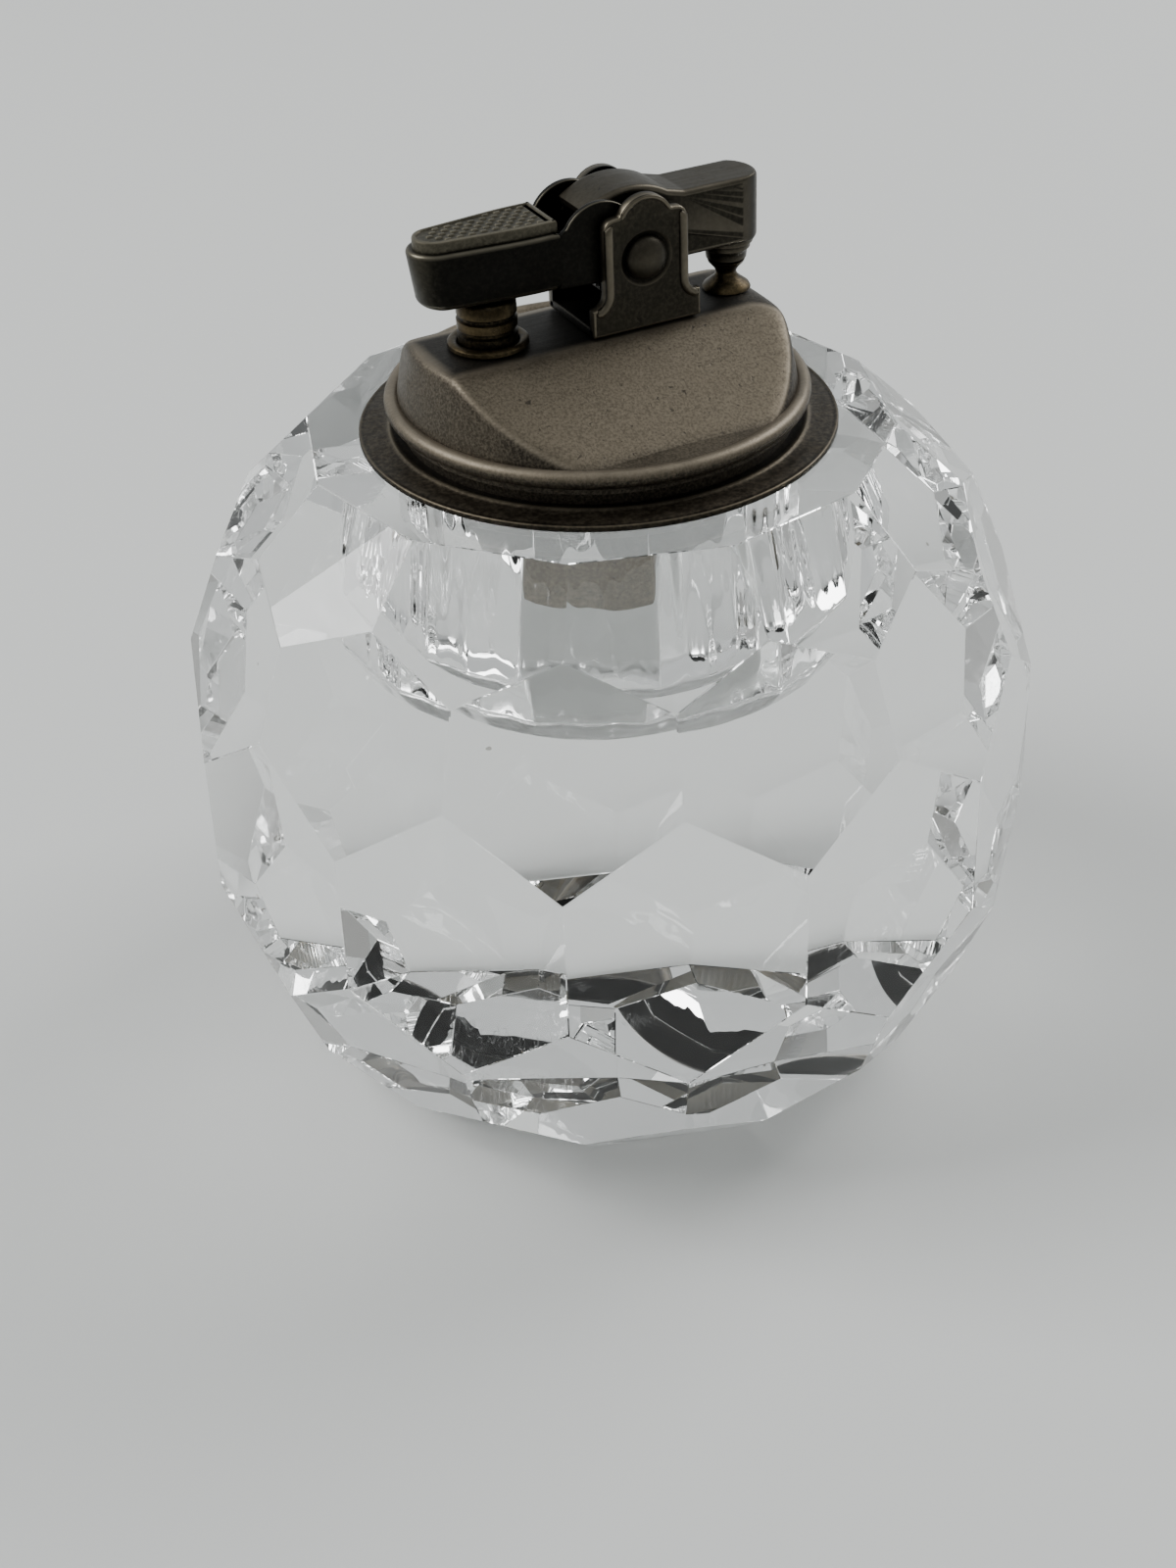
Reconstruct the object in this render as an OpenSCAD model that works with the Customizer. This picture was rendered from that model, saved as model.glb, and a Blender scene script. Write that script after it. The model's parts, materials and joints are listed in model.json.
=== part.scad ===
// Cut-crystal ball table lighter with a lift-out, lift-arm burner insert.
// Origin: centre of the flat base, on the surface that the ball stands on.
// +Z is up, +X points from the thumb lever towards the snuffer nose.

/* [Crystal ball] */
// Radius of the round blank that the ball is cut from
ball_r = 41; // [34:0.1:50]
// Tilt of the middle facet rows above and below the belt, degrees
mid_tilt = 21; // [20:0.5:23]
// Tilt of the crown and pavilion facet rows, degrees
crown_tilt = 45.3; // [43:0.1:47]
// Facets in each row round the ball
facets = 12; // [10:2:14]
// Turn of the facets against the lever's line, degrees
cut_turn = -3; // [-15:0.5:15]
// Radius of the well that the insert drops into
well_r = 18.5; // [18:0.1:20]
// Depth of the well below the table
well_depth = 23; // [21:0.5:28]
// Upright flat panels round the well
panels = 12; // [8:1:16]
// Width of the sloped corner between the well's wall and floor
well_corner = 2.5; // [1:0.1:3]

/* [Insert body] */
// Radius of the flange that rests on the table
flange_r = 22; // [21:0.1:24]
// Thickness of the flange plate
flange_t = 0.7; // [0.5:0.1:1.2]
// Outer radius of the fuel tank
tank_r = 16.2; // [15.8:0.1:17]
// Wall of the fuel tank
tank_wall = 0.6; // [0.4:0.1:1]
// Depth of the fuel tank below the table
tank_depth = 15.5; // [14:0.5:18]
// Gap between the grip ring and the well's wall
grip_gap = 0.2; // [0.1:0.05:0.4]
// Height of the grip ring
grip_h = 5; // [3:0.5:8]
// Clearance of a shaft that turns or slides in its hole
run_gap = 0.06; // [0.03:0.01:0.1]

/* [Housing] */
// Height of the deck above the flange
deck_h = 9.5; // [8:0.1:11]
// Half width of the deck
deck_half = 4.55; // [4.4:0.05:5.4]
// Radius of the housing's bead
bead_r = 18.7; // [17.5:0.1:19]
// Thickness of the bead
bead_t = 1.6; // [1.2:0.1:2]
// Radius of the dome at its foot
dome_foot_r = 18.5; // [18:0.1:18.8]
// Radius of the dome at the deck
dome_top_r = 17.1; // [17:0.1:18]
// Lean of the broad front and back faces from upright, degrees
face_lean = 60; // [52:1:62]
// Wall of the housing
shell = 0.9; // [0.6:0.1:1.2]
// Radius of the rounded end below the snuffer
end_round = 5; // [3:0.5:6]

/* [Bracket] */
// Thickness of each ear
ear_t = 0.9; // [0.7:0.1:1.1]
// Width of an ear above its foot
ear_w = 8.2; // [7.6:0.1:9]
// Width of an ear's foot
ear_foot_w = 10.7; // [9.5:0.1:12]
// Height of an ear's shoulders above the deck
ear_shoulder_h = 10.5; // [10:0.1:12]
// Radius of the rivet's shaft
rivet_r = 0.8; // [0.7:0.05:0.95]
// Radius of the rivet's domed head
rivet_head_r = 2; // [1.6:0.1:2.3]

/* [Lever and snuffer] */
// Distance of the rivet from the ball's axis
pivot_x = 3; // [2:0.1:4]
// Height of the rivet above the deck
pivot_h = 6.4; // [6:0.1:7.5]
// Half width of the lever
lever_half = 3.4; // [3.3:0.05:3.5]
// Thickness of the lever's cheeks
cheek_t = 0.6; // [0.5:0.05:0.7]
// Height of the lever's side
lever_h = 5.1; // [4.5:0.1:5.5]
// Thickness of the thumb pad
pad_t = 1; // [0.6:0.1:1.4]
// Half width of the snuffer arm
arm_half = 2.6; // [2.4:0.05:2.65]
// Thickness of the snuffer arm's side plates
arm_plate = 0.6; // [0.4:0.05:0.7]
// Distance from the rivet to the burner
burner_reach = 10.6; // [10:0.1:11.5]
// Radius of the hood over the flint wheel
hood_r = 7.5; // [7.2:0.1:7.8]
// Radius of the flint wheel
wheel_r = 4.6; // [4:0.1:4.8]
// Distance from the ball's axis to the plunger under the lever
plunger_x = -10.6; // [-11.5:0.1:-10]
// Radius of the plunger
plunger_r = 2.7; // [2.2:0.1:3]

/* [Fuel and flint] */
// Radius of the flint
flint_r = 1.2; // [1:0.1:1.4]
// Wall of the flint tube
flint_wall = 0.5; // [0.4:0.1:0.7]
// Distance from the ball's axis to the filler screw
filler_x = -8; // [-9:0.1:-7]
// Radius of the filler screw's shank
filler_r = 2.2; // [1.8:0.1:2.6]

/* [Hidden] */
$fn = 64;

// Facets, table and base lie at fixed shares of the blank's radius from its centre.
belt_d = ball_r * 39.6 / 41;
mid_d = ball_r * 40.8 / 41;
crown_d = ball_r * 41.6 / 41;
table_h = ball_r * 32.4 / 41;
base_h = ball_r * 31 / 41;
table_z = base_h + table_h;
flange_z = table_z + flange_t;
deck_z = flange_z + deck_h;
tank_z = table_z - tank_depth;
pivot_z = deck_z + pivot_h;
far = 200;

// Lever: the fulcrum is the centre of its round cheeks, up and left of the rivet.
fulcrum_dx = -2.9;
fulcrum_dz = 2.2;
fulcrum_r = 0.7;
lever_z = pivot_z - 1.65;
lever_top = lever_z + lever_h;
lever_back = -4.7;
lever_nose = -15;
lever_press = 13.5;

// Drive pins: they lift the arm at a short radius from the rivet.
drive_dx = 1.85;
drive_r = 0.45;
lift_ratio = 2.6;

// Snuffer arm, measured from the rivet.
arm_top = 4.45;
arm_bottom = -1.65;
hood_dx = -0.5;
hood_dz = -1.55;
hood_t = 0.6;
burner_x = pivot_x + burner_reach;
cap_h = 2;
cap_z = pivot_z + arm_bottom;

ear_in = deck_half - ear_t;
web_t = 0.7;
wheel_in = arm_half - arm_plate;
tube_r = flint_r + 0.15 + flint_wall;
tube_top = pivot_z - wheel_r - 0.45;
flint_top = pivot_z - wheel_r - 0.05;

// ---------- shared shapes ----------

// Places children at a point and turns their Z axis along +Y.
module along_y(x, y, z) {
    translate([x, y, z])
        rotate([-90, 0, 0])
            children();
}

// Extrudes a side view (X to the right, Y up) to a width centred on y = 0.
module side_slab(width) {
    rotate([90, 0, 0])
        linear_extrude(width, center = true)
            children();
}

// Mirrors children to both sides of y = 0.
module both_sides() {
    children();
    mirror([0, 1, 0])
        children();
}

// A round wire coil from z = 0 to z = height, as one closed tube.
module coil(radius, wire, height, turns) {
    sides = 8;
    per_turn = 12;
    steps = turns * per_turn;
    rise = height - 2 * wire;
    points = [for (i = [0 : steps], k = [0 : sides - 1])
        let (a = 360 * i / per_turn, b = 360 * k / sides)
            [(radius + wire * cos(b)) * cos(a),
             (radius + wire * cos(b)) * sin(a),
             wire + rise * i / steps + wire * sin(b)]];
    quads = [for (i = [0 : steps - 1], k = [0 : sides - 1])
        let (n = (k + 1) % sides)
            [i * sides + k, (i + 1) * sides + k, (i + 1) * sides + n, i * sides + n]];
    walls = [for (q = quads, half = [0, 1])
        half == 0 ? [q[0], q[1], q[2]] : [q[0], q[2], q[3]]];
    first = [for (k = [0 : sides - 1]) k];
    last = [for (k = [sides - 1 : -1 : 0]) steps * sides + k];
    polyhedron(points, concat(walls, [first], [last]), convexity = 8);
}

// ---------- crystal ball ----------

// Slabs whose opposite faces are one facet above the belt and one below it.
module facet_slabs(tilt, distance, phase) {
    intersection_for (i = [0 : facets - 1])
        rotate([0, 0, phase + i * 360 / facets])
            rotate([0, -tilt, 0])
                cube([2 * distance, far, far], center = true);
}

module cut_ball() {
    half = 180 / facets;
    translate([0, 0, base_h])
        rotate([0, 0, cut_turn])
            intersection() {
                rotate([0, 0, half])
                    facet_slabs(0, belt_d, 0);
                facet_slabs(mid_tilt, mid_d, 0);
                facet_slabs(crown_tilt, crown_d, half);
                translate([-far / 2, -far / 2, -base_h])
                    cube([far, far, table_h + base_h]);
            }
}

module well_plan() {
    rotate(180 / panels)
        circle(r = well_r / cos(180 / panels), $fn = panels);
}

module well() {
    panel_h = well_depth - well_corner;
    translate([0, 0, table_z - panel_h])
        linear_extrude(panel_h + 1)
            well_plan();
    translate([0, 0, table_z - well_depth])
        cylinder(r1 = well_r - well_corner, r2 = well_r, h = well_corner + 0.01);
}

module crystal_ball() {
    color([0.86, 0.9, 0.9, 0.4])
        difference() {
            cut_ball();
            well();
        }
}

// ---------- insert body ----------

module grip_ring() {
    ring_top = table_z - 0.6;
    color("gainsboro")
        translate([0, 0, ring_top - grip_h])
            difference() {
                cylinder(r = well_r - grip_gap, h = grip_h);
                translate([0, 0, -1])
                    cylinder(r = tank_r, h = grip_h + 2);
            }
}

module flange_plate() {
    lip_r = flange_r - 1.9;
    color([0.2, 0.17, 0.13])
        difference() {
            union() {
                translate([0, 0, table_z])
                    cylinder(r = flange_r, h = flange_t - 0.2);
                translate([0, 0, table_z])
                    cylinder(r = flange_r - 0.25, h = flange_t);
                translate([0, 0, flange_z - 0.1])
                    difference() {
                        cylinder(r = lip_r, h = 0.3);
                        translate([0, 0, -1])
                            cylinder(r = bead_r + 0.4, h = 2);
                    }
            }
            translate([pivot_x, 0, table_z - 1])
                cylinder(r = tube_r, h = 3);
            translate([burner_x, 0, table_z - 1])
                cylinder(r = 1, h = 3);
        }
}

module fuel_tank() {
    floor_t = 0.8;
    color([0.45, 0.4, 0.32])
        difference() {
            translate([0, 0, tank_z])
                cylinder(r = tank_r, h = tank_depth);
            translate([0, 0, tank_z + floor_t])
                cylinder(r = tank_r - tank_wall, h = tank_depth);
            translate([pivot_x, 0, tank_z - 1])
                cylinder(r = tube_r, h = 3);
            translate([filler_x, 0, tank_z - 1])
                cylinder(r = filler_r + 1, h = 3);
        }
}

module wadding() {
    pad_z = tank_z + 2.6;
    pad_h = tank_depth - 4;
    color("ivory")
        difference() {
            translate([0, 0, pad_z])
                cylinder(r = tank_r - tank_wall - 0.2, h = pad_h);
            translate([pivot_x, 0, pad_z - 1])
                cylinder(r = tube_r + 0.1, h = pad_h + 2);
            translate([burner_x, 0, pad_z + 4])
                cylinder(r = 0.8, h = pad_h);
        }
}

// The dome between the deck and the bead, made smaller all round by an inset.
module dome(inset) {
    foot_z = flange_z + 2;
    top_z = deck_z - inset;
    face_run = tan(face_lean) * deck_h;
    side_inset = inset / cos(face_lean);
    intersection() {
        translate([0, 0, foot_z])
            cylinder(r1 = dome_foot_r - inset, r2 = dome_top_r - inset, h = top_z - foot_z);
        rotate([90, 0, 90])
            linear_extrude(far, center = true)
                polygon([[-deck_half + side_inset, deck_z],
                         [deck_half - side_inset, deck_z],
                         [deck_half - side_inset + face_run, flange_z],
                         [-deck_half + side_inset - face_run, flange_z]]);
        side_slab(far)
            dome_side(inset);
    }
}

// Side view of the dome: square under the lever, rounded under the snuffer.
module dome_side(inset) {
    right = dome_top_r + 1 - inset;
    round_r = end_round - inset;
    round_z = deck_z - end_round;
    translate([-far / 2, 0])
        square([far / 2 + right, round_z]);
    translate([-far / 2, 0])
        square([far / 2 + right - round_r, deck_z - inset]);
    translate([right - round_r, round_z])
        circle(round_r);
}

module bead() {
    bead_z = flange_z + 2.6;
    rotate_extrude()
        translate([bead_r, bead_z])
            circle(bead_t / 2, $fn = 32);
    translate([0, 0, flange_z + 1])
        cylinder(r = bead_r - 0.2, h = 2.1);
    translate([0, 0, flange_z])
        cylinder(r = bead_r - 0.6, h = 1.1);
}

module housing() {
    color([0.42, 0.38, 0.3])
        difference() {
            union() {
                dome(0);
                bead();
            }
            dome(shell);
            translate([0, 0, flange_z - 1])
                cylinder(r = bead_r - 0.6 - shell, h = 3.2);
            translate([pivot_x, 0, deck_z - 3])
                cylinder(r = tube_r, h = 6);
            translate([burner_x, 0, deck_z - 8])
                cylinder(r = 1, h = 12);
            translate([plunger_x, 0, deck_z - 3])
                cylinder(r = plunger_r + run_gap + 0.5, h = 6);
        }
}

// ---------- bracket and pins ----------

module ear_outline() {
    foot_h = 2.5;
    flare = (ear_foot_w - ear_w) / 2;
    lobe_r = 2.8;
    corner = 1;
    translate([-ear_foot_w / 2, 0])
        square([ear_foot_w, foot_h]);
    translate([-ear_w / 2, 0])
        square([ear_w, ear_shoulder_h - corner]);
    for (s = [-1, 1])
        translate([s * (ear_w / 2 - corner), ear_shoulder_h - corner])
            circle(corner, $fn = 32);
    translate([-ear_w / 2 + corner, 0])
        square([ear_w - 2 * corner, ear_shoulder_h]);
    translate([0, ear_shoulder_h - 1.15])
        circle(lobe_r);
    for (s = [-1, 1])
        difference() {
            translate([s * (ear_w / 2 + flare / 2) - flare / 2, foot_h])
                square([flare, flare]);
            translate([s * ear_foot_w / 2, foot_h + flare])
                circle(flare, $fn = 32);
        }
}

module ear() {
    rim_w = 0.6;
    rim_t = 0.25;
    translate([0, -ear_in, deck_z])
        difference() {
            union() {
                rotate([90, 0, 0])
                    linear_extrude(ear_t)
                        translate([pivot_x, 0])
                            ear_outline();
                for (s = [-1, 1])
                    translate([pivot_x + s * (ear_w / 2 - 0.7) - rim_w / 2, -ear_t - rim_t, 3])
                        cube([rim_w, rim_t + 0.1, ear_shoulder_h - 4]);
            }
            along_y(pivot_x, -ear_t - 1, pivot_h)
                cylinder(r = rivet_r, h = ear_t + 2);
            along_y(pivot_x, -ear_t - 1, pivot_h)
                cylinder(r = rivet_head_r + 0.7, h = 1.2);
            along_y(pivot_x + fulcrum_dx, -0.5, pivot_h + fulcrum_dz)
                cylinder(r = fulcrum_r, h = 1);
        }
}

module bracket() {
    color([0.27, 0.24, 0.19])
        difference() {
            union() {
                both_sides()
                    ear();
                translate([pivot_x - ear_foot_w / 2, -ear_in - 0.1, deck_z])
                    cube([ear_foot_w, 2 * ear_in + 0.2, web_t]);
            }
            translate([pivot_x, 0, deck_z - 1])
                cylinder(r = tube_r, h = web_t + 2);
        }
}

module rivet() {
    head_h = 1.1;
    dome_r = (rivet_head_r * rivet_head_r + head_h * head_h) / (2 * head_h);
    seat = deck_half - 0.2;
    color([0.25, 0.22, 0.17]) {
        along_y(pivot_x, -seat, pivot_z)
            cylinder(r = rivet_r, h = 2 * seat);
        both_sides()
            intersection() {
                translate([pivot_x, -seat - head_h + dome_r, pivot_z])
                    sphere(dome_r);
                along_y(pivot_x, -seat - head_h, pivot_z)
                    cylinder(r = rivet_head_r, h = head_h);
            }
    }
}

module fulcrum_pins() {
    color("silver")
        both_sides()
            along_y(pivot_x + fulcrum_dx, -ear_in - 0.5, pivot_z + fulcrum_dz)
                cylinder(r = fulcrum_r, h = ear_in + 0.5 - lever_half + cheek_t);
}

// ---------- flint and its tube ----------

module flint_tube() {
    tube_z = tank_z - 0.6;
    color([0.62, 0.5, 0.28])
        translate([pivot_x, 0, tube_z])
            difference() {
                cylinder(r = tube_r, h = tube_top - tube_z);
                translate([0, 0, -1])
                    cylinder(r = tube_r - flint_wall, h = tube_top - tube_z + 2);
            }
}

module flint() {
    flint_h = 5;
    color("dimgray")
        difference() {
            translate([pivot_x, 0, flint_top - flint_h])
                cylinder(r = flint_r, h = flint_h + 0.3);
            along_y(pivot_x, -far / 2, pivot_z)
                cylinder(r = wheel_r + 0.05, h = far, $fn = 128);
        }
}

module flint_pusher() {
    color([0.62, 0.5, 0.28])
        translate([pivot_x, 0, flint_top - 5 - 1.2]) {
            cylinder(r = flint_r, h = 1.2);
            translate([0, 0, -1.5])
                cylinder(r = flint_r * 0.45, h = 1.6);
        }
}

flint_screw_top = tank_z + 3;
flint_spring_top = flint_top - 5 - 1.2;

module flint_spring() {
    color("silver")
        translate([pivot_x, 0, flint_screw_top])
            coil(flint_r - 0.35, 0.2, flint_spring_top - flint_screw_top, 9);
}

module flint_screw() {
    head_r = tube_r + 1.1;
    head_h = 1.2;
    shank_r = tube_r - flint_wall - run_gap;
    head_top = tank_z - 0.65;
    color([0.62, 0.5, 0.28])
        translate([pivot_x, 0, head_top - head_h])
            difference() {
                union() {
                    cylinder(r = head_r, h = head_h);
                    cylinder(r = shank_r, h = flint_screw_top - head_top + head_h);
                }
                translate([-head_r - 1, -0.4, -1])
                    cube([2 * head_r + 2, 0.8, 1.5]);
            }
}

// ---------- plunger ----------

plunger_top = lever_z - 0.1;
plunger_h = 7;
spring_z = flange_z;

module plunger_bush() {
    bore = plunger_r + run_gap;
    color([0.62, 0.5, 0.28])
        translate([plunger_x, 0, deck_z])
            difference() {
                union() {
                    cylinder(r = bore + 0.9, h = 0.5);
                    translate([0, 0, -4])
                        cylinder(r = bore + 0.5, h = 4.1);
                }
                translate([0, 0, -5])
                    cylinder(r = bore, h = 7);
            }
}

module plunger() {
    groove = 0.25;
    color([0.55, 0.45, 0.26])
        translate([plunger_x, 0, plunger_top])
            difference() {
                intersection() {
                    translate([0, 0, -plunger_h])
                        cylinder(r = plunger_r, h = plunger_h);
                    translate([0, 0, -6])
                        sphere(6);
                }
                translate([0, 0, -plunger_h - 1])
                    cylinder(r = plunger_r - 0.5, h = plunger_h);
                for (z = [-1.9, -3.2])
                    translate([0, 0, z])
                        difference() {
                            cylinder(r = plunger_r + 1, h = 0.35);
                            translate([0, 0, -1])
                                cylinder(r = plunger_r - groove, h = 2);
                        }
            }
}

module return_spring() {
    color("silver")
        translate([plunger_x, 0, spring_z])
            coil(plunger_r - 1, 0.28, plunger_top - 1 - spring_z, 7);
}

// ---------- burner ----------

module burner() {
    tip_z = cap_z - cap_h;
    color([0.62, 0.52, 0.3])
        translate([burner_x, 0, 0])
            difference() {
                union() {
                    translate([0, 0, table_z])
                        cylinder(r = 1, h = tip_z - table_z);
                    translate([0, 0, deck_z])
                        cylinder(r1 = 2.2, r2 = 1, h = 1.3);
                    translate([0, 0, tip_z - 1.2])
                        cylinder(r1 = 1, r2 = 1.75, h = 1.1);
                    translate([0, 0, tip_z - 0.11])
                        cylinder(r1 = 1.3, r2 = 1.1, h = 0.9);
                }
                translate([0, 0, table_z - 1])
                    cylinder(r = 0.7, h = far);
            }
}

module wick() {
    color("ivory")
        translate([burner_x, 0, tank_z + 7])
            cylinder(r = 0.65, h = cap_z - cap_h + 0.95 - tank_z - 7);
}

// ---------- thumb lever ----------

// Plan of the lever's grip: parallel sides that taper to a round nose.
module grip_plan(half, nose_half) {
    polygon([[lever_back, -half], [lever_back, half], [-8, half],
             [lever_nose, nose_half], [lever_nose, -nose_half], [-8, -half]]);
    translate([lever_nose, 0])
        circle(nose_half);
}

// Side view of a cheek, measured from the fulcrum.
module cheek_outline() {
    cheek_r = 3.7;
    low = lever_z - pivot_z - fulcrum_dz;
    tail_dx = drive_dx - fulcrum_dx;
    difference() {
        union() {
            translate([-0.95, -0.4])
                circle(cheek_r);
            translate([lever_back - pivot_x - fulcrum_dx - 0.1, low])
                square([-lever_back + pivot_x + fulcrum_dx + 0.1, -low + 0.9]);
            translate([0, -fulcrum_dz - 2.3])
                square([tail_dx, fulcrum_dz + 2.3]);
            translate([tail_dx, -fulcrum_dz - 0.6])
                circle(1.7);
            square([tail_dx, 2.4]);
            translate([tail_dx, -fulcrum_dz - 0.6])
                square([1.7, 3]);
        }
        circle(fulcrum_r + run_gap, $fn = 32);
    }
}

// The curved slot in a cheek that the rivet passes along as the lever is pressed.
module rivet_slot() {
    rivet_radius = norm([fulcrum_dx, fulcrum_dz]);
    rivet_angle = atan2(-fulcrum_dz, -fulcrum_dx);
    slot_r = rivet_r + 0.12;
    steps = 4;
    sweep = lever_press + 1;
    for (i = [0 : steps])
        rotate(rivet_angle - sweep * i / steps)
            translate([rivet_radius, 0])
                circle(slot_r, $fn = 32);
}

module cheek() {
    translate([pivot_x + fulcrum_dx, -lever_half + cheek_t, pivot_z + fulcrum_dz])
        rotate([90, 0, 0])
            linear_extrude(cheek_t)
                difference() {
                    cheek_outline();
                    rivet_slot();
                    translate([drive_dx - fulcrum_dx, -fulcrum_dz])
                        circle(drive_r, $fn = 32);
                }
}

module thumb_lever() {
    color([0.22, 0.2, 0.15]) {
        translate([0, 0, lever_z])
            linear_extrude(lever_h)
                grip_plan(lever_half, 2.6);
        both_sides()
            cheek();
    }
}

module thumb_pad() {
    color([0.33, 0.31, 0.25])
        translate([0, 0, lever_top])
            linear_extrude(pad_t)
                grip_plan(2.75, 2);
}

module drive_pins() {
    color("silver")
        both_sides()
            along_y(pivot_x + drive_dx, -lever_half, pivot_z)
                cylinder(r = drive_r, h = lever_half - wheel_in - 0.1);
}

// ---------- snuffer arm ----------

// Side view of the arm, measured from the rivet.
module arm_outline() {
    difference() {
        union() {
            translate([hood_dx, hood_dz])
                circle(hood_r);
            translate([0, arm_bottom])
                square([burner_reach + 0.2, arm_top - arm_bottom]);
        }
        polygon([[-20, 20], [-4.95, 20], [-4.95, 4.4], [-2.4, -2.2], [2, -3.4], [4.2, arm_bottom],
                 [20, arm_bottom], [20, -20], [-20, -20]]);
    }
}

// The hollow between the arm's side plates.
module arm_hollow() {
    translate([hood_dx, hood_dz])
        circle(hood_r - hood_t);
    translate([0, -8])
        square([burner_reach - 3, arm_top + 8 - 0.8]);
}

module snuffer_arm() {
    nose_r = arm_half;
    drive_path = [[drive_dx, 0], [2.16, -0.09], [2.51, -0.33]];
    slot_r = drive_r + 0.15;
    color([0.24, 0.21, 0.17])
        translate([pivot_x, 0, pivot_z])
            difference() {
                union() {
                    side_slab(2 * arm_half)
                        arm_outline();
                    translate([burner_reach + 0.2, 0, arm_bottom])
                        cylinder(r = nose_r, h = arm_top - arm_bottom);
                }
                side_slab(2 * wheel_in)
                    arm_hollow();
                along_y(0, -far / 2, 0)
                    cylinder(r = rivet_r + run_gap, h = far);
                for (p = drive_path)
                    along_y(p[0], -far / 2, p[1])
                        cylinder(r = slot_r, h = far, $fn = 32);
            }
}

module snuffer_cap() {
    skirt = 1.95;
    cavity = 1.6;
    color([0.2, 0.18, 0.14])
        translate([burner_x, 0, cap_z - cap_h])
            difference() {
                union() {
                    cylinder(r = skirt, h = cap_h);
                    translate([0, 0, 0.8])
                        cylinder(r = skirt + 0.25, h = cap_h - 0.8);
                    translate([0, 0, 1.5])
                        cylinder(r = skirt + 0.5, h = cap_h - 1.5);
                }
                translate([0, 0, -1])
                    cylinder(r = cavity, h = 2.5);
            }
}

module cap_seal() {
    color("beige")
        translate([burner_x, 0, cap_z - 0.5 - 0.35])
            cylinder(r = 1.6, h = 0.35);
}

module pawl() {
    strip_w = 0.5;
    color("silver")
        translate([pivot_x, wheel_in - strip_w, pivot_z])
            rotate([90, 0, 0])
                translate([0, 0, -strip_w])
                    linear_extrude(strip_w)
                        difference() {
                            polygon([[3.1, 0.55], [3.55, 0.35], [6.6, 3.2], [6.6, 3.65], [6.1, 3.65]]);
                            circle(3.15);
                        }
}

// ---------- flint wheel ----------

// A disc with pointed teeth; lean pushes each point round the wheel.
module toothed_disc(radius, depth, count, lean) {
    step = 360 / count;
    polygon([for (i = [0 : count - 1], k = [0, 1])
        let (a = (i + k * lean) * step, r = radius - (1 - k) * depth)
            [r * cos(a), r * sin(a)]]);
}

module flint_wheel() {
    color([0.35, 0.34, 0.33])
        along_y(pivot_x, -wheel_in + 0.3, pivot_z)
            difference() {
                linear_extrude(2 * wheel_in - 1.2)
                    toothed_disc(wheel_r, 0.25, 44, 0.5);
                translate([0, 0, -1])
                    cylinder(r = rivet_r + run_gap, h = 8);
            }
}

module ratchet_wheel() {
    color([0.4, 0.39, 0.37])
        along_y(pivot_x, wheel_in - 0.9, pivot_z)
            difference() {
                linear_extrude(0.6)
                    toothed_disc(3, 0.5, 12, 0.9);
                translate([0, 0, -1])
                    cylinder(r = rivet_r + run_gap, h = 3);
            }
}

// ---------- filler ----------

module filler_bush() {
    color([0.62, 0.5, 0.28])
        translate([filler_x, 0, tank_z])
            difference() {
                union() {
                    cylinder(r = filler_r + 1, h = 2.4);
                    translate([0, 0, 0.8])
                        cylinder(r = filler_r + 1.5, h = 0.6);
                }
                translate([0, 0, -1])
                    cylinder(r = filler_r + run_gap, h = 5);
            }
}

module filler_gasket() {
    color("firebrick")
        translate([filler_x, 0, tank_z - 0.65])
            difference() {
                cylinder(r = filler_r + 1.2, h = 0.6);
                translate([0, 0, -1])
                    cylinder(r = filler_r + run_gap, h = 2);
            }
}

module filler_screw() {
    head_h = 1.2;
    color([0.62, 0.5, 0.28])
        translate([filler_x, 0, tank_z - 0.65 - head_h - 0.02])
            difference() {
                union() {
                    cylinder(r = filler_r + 1.4, h = head_h);
                    cylinder(r = filler_r, h = head_h + 2.8);
                }
                translate([-5, -0.45, -1])
                    cube([10, 0.9, 1.6]);
            }
}

crystal_ball();
grip_ring();
flange_plate();
fuel_tank();
wadding();
housing();
bracket();
rivet();
fulcrum_pins();
flint_tube();
flint();
flint_pusher();
flint_spring();
flint_screw();
plunger_bush();
plunger();
return_spring();
burner();
wick();
thumb_lever();
thumb_pad();
drive_pins();
snuffer_arm();
snuffer_cap();
cap_seal();
pawl();
flint_wheel();
ratchet_wheel();
filler_bush();
filler_gasket();
filler_screw();
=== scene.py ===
"""A cut-crystal ball table lighter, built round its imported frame."""

import json
import logging
from dataclasses import dataclass
from enum import Enum
from itertools import combinations
from math import cos, radians, sin, tan

import bmesh
import bpy
import numpy as np
from mathutils import Matrix, Vector


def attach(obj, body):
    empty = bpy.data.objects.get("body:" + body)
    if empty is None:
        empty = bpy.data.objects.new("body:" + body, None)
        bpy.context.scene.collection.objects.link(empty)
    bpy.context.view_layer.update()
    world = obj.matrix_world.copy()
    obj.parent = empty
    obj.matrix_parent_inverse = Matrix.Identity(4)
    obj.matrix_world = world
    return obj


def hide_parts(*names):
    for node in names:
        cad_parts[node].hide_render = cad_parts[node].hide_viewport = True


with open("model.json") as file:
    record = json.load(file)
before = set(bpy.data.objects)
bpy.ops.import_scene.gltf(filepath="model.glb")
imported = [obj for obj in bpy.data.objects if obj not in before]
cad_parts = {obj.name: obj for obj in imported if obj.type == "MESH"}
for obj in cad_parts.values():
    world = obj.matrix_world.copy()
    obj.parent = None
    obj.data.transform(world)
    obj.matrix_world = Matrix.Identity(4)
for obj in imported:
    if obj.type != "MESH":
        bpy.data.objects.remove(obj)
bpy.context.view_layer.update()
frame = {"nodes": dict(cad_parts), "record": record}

LOG = logging.getLogger("crystal_lighter")
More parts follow.
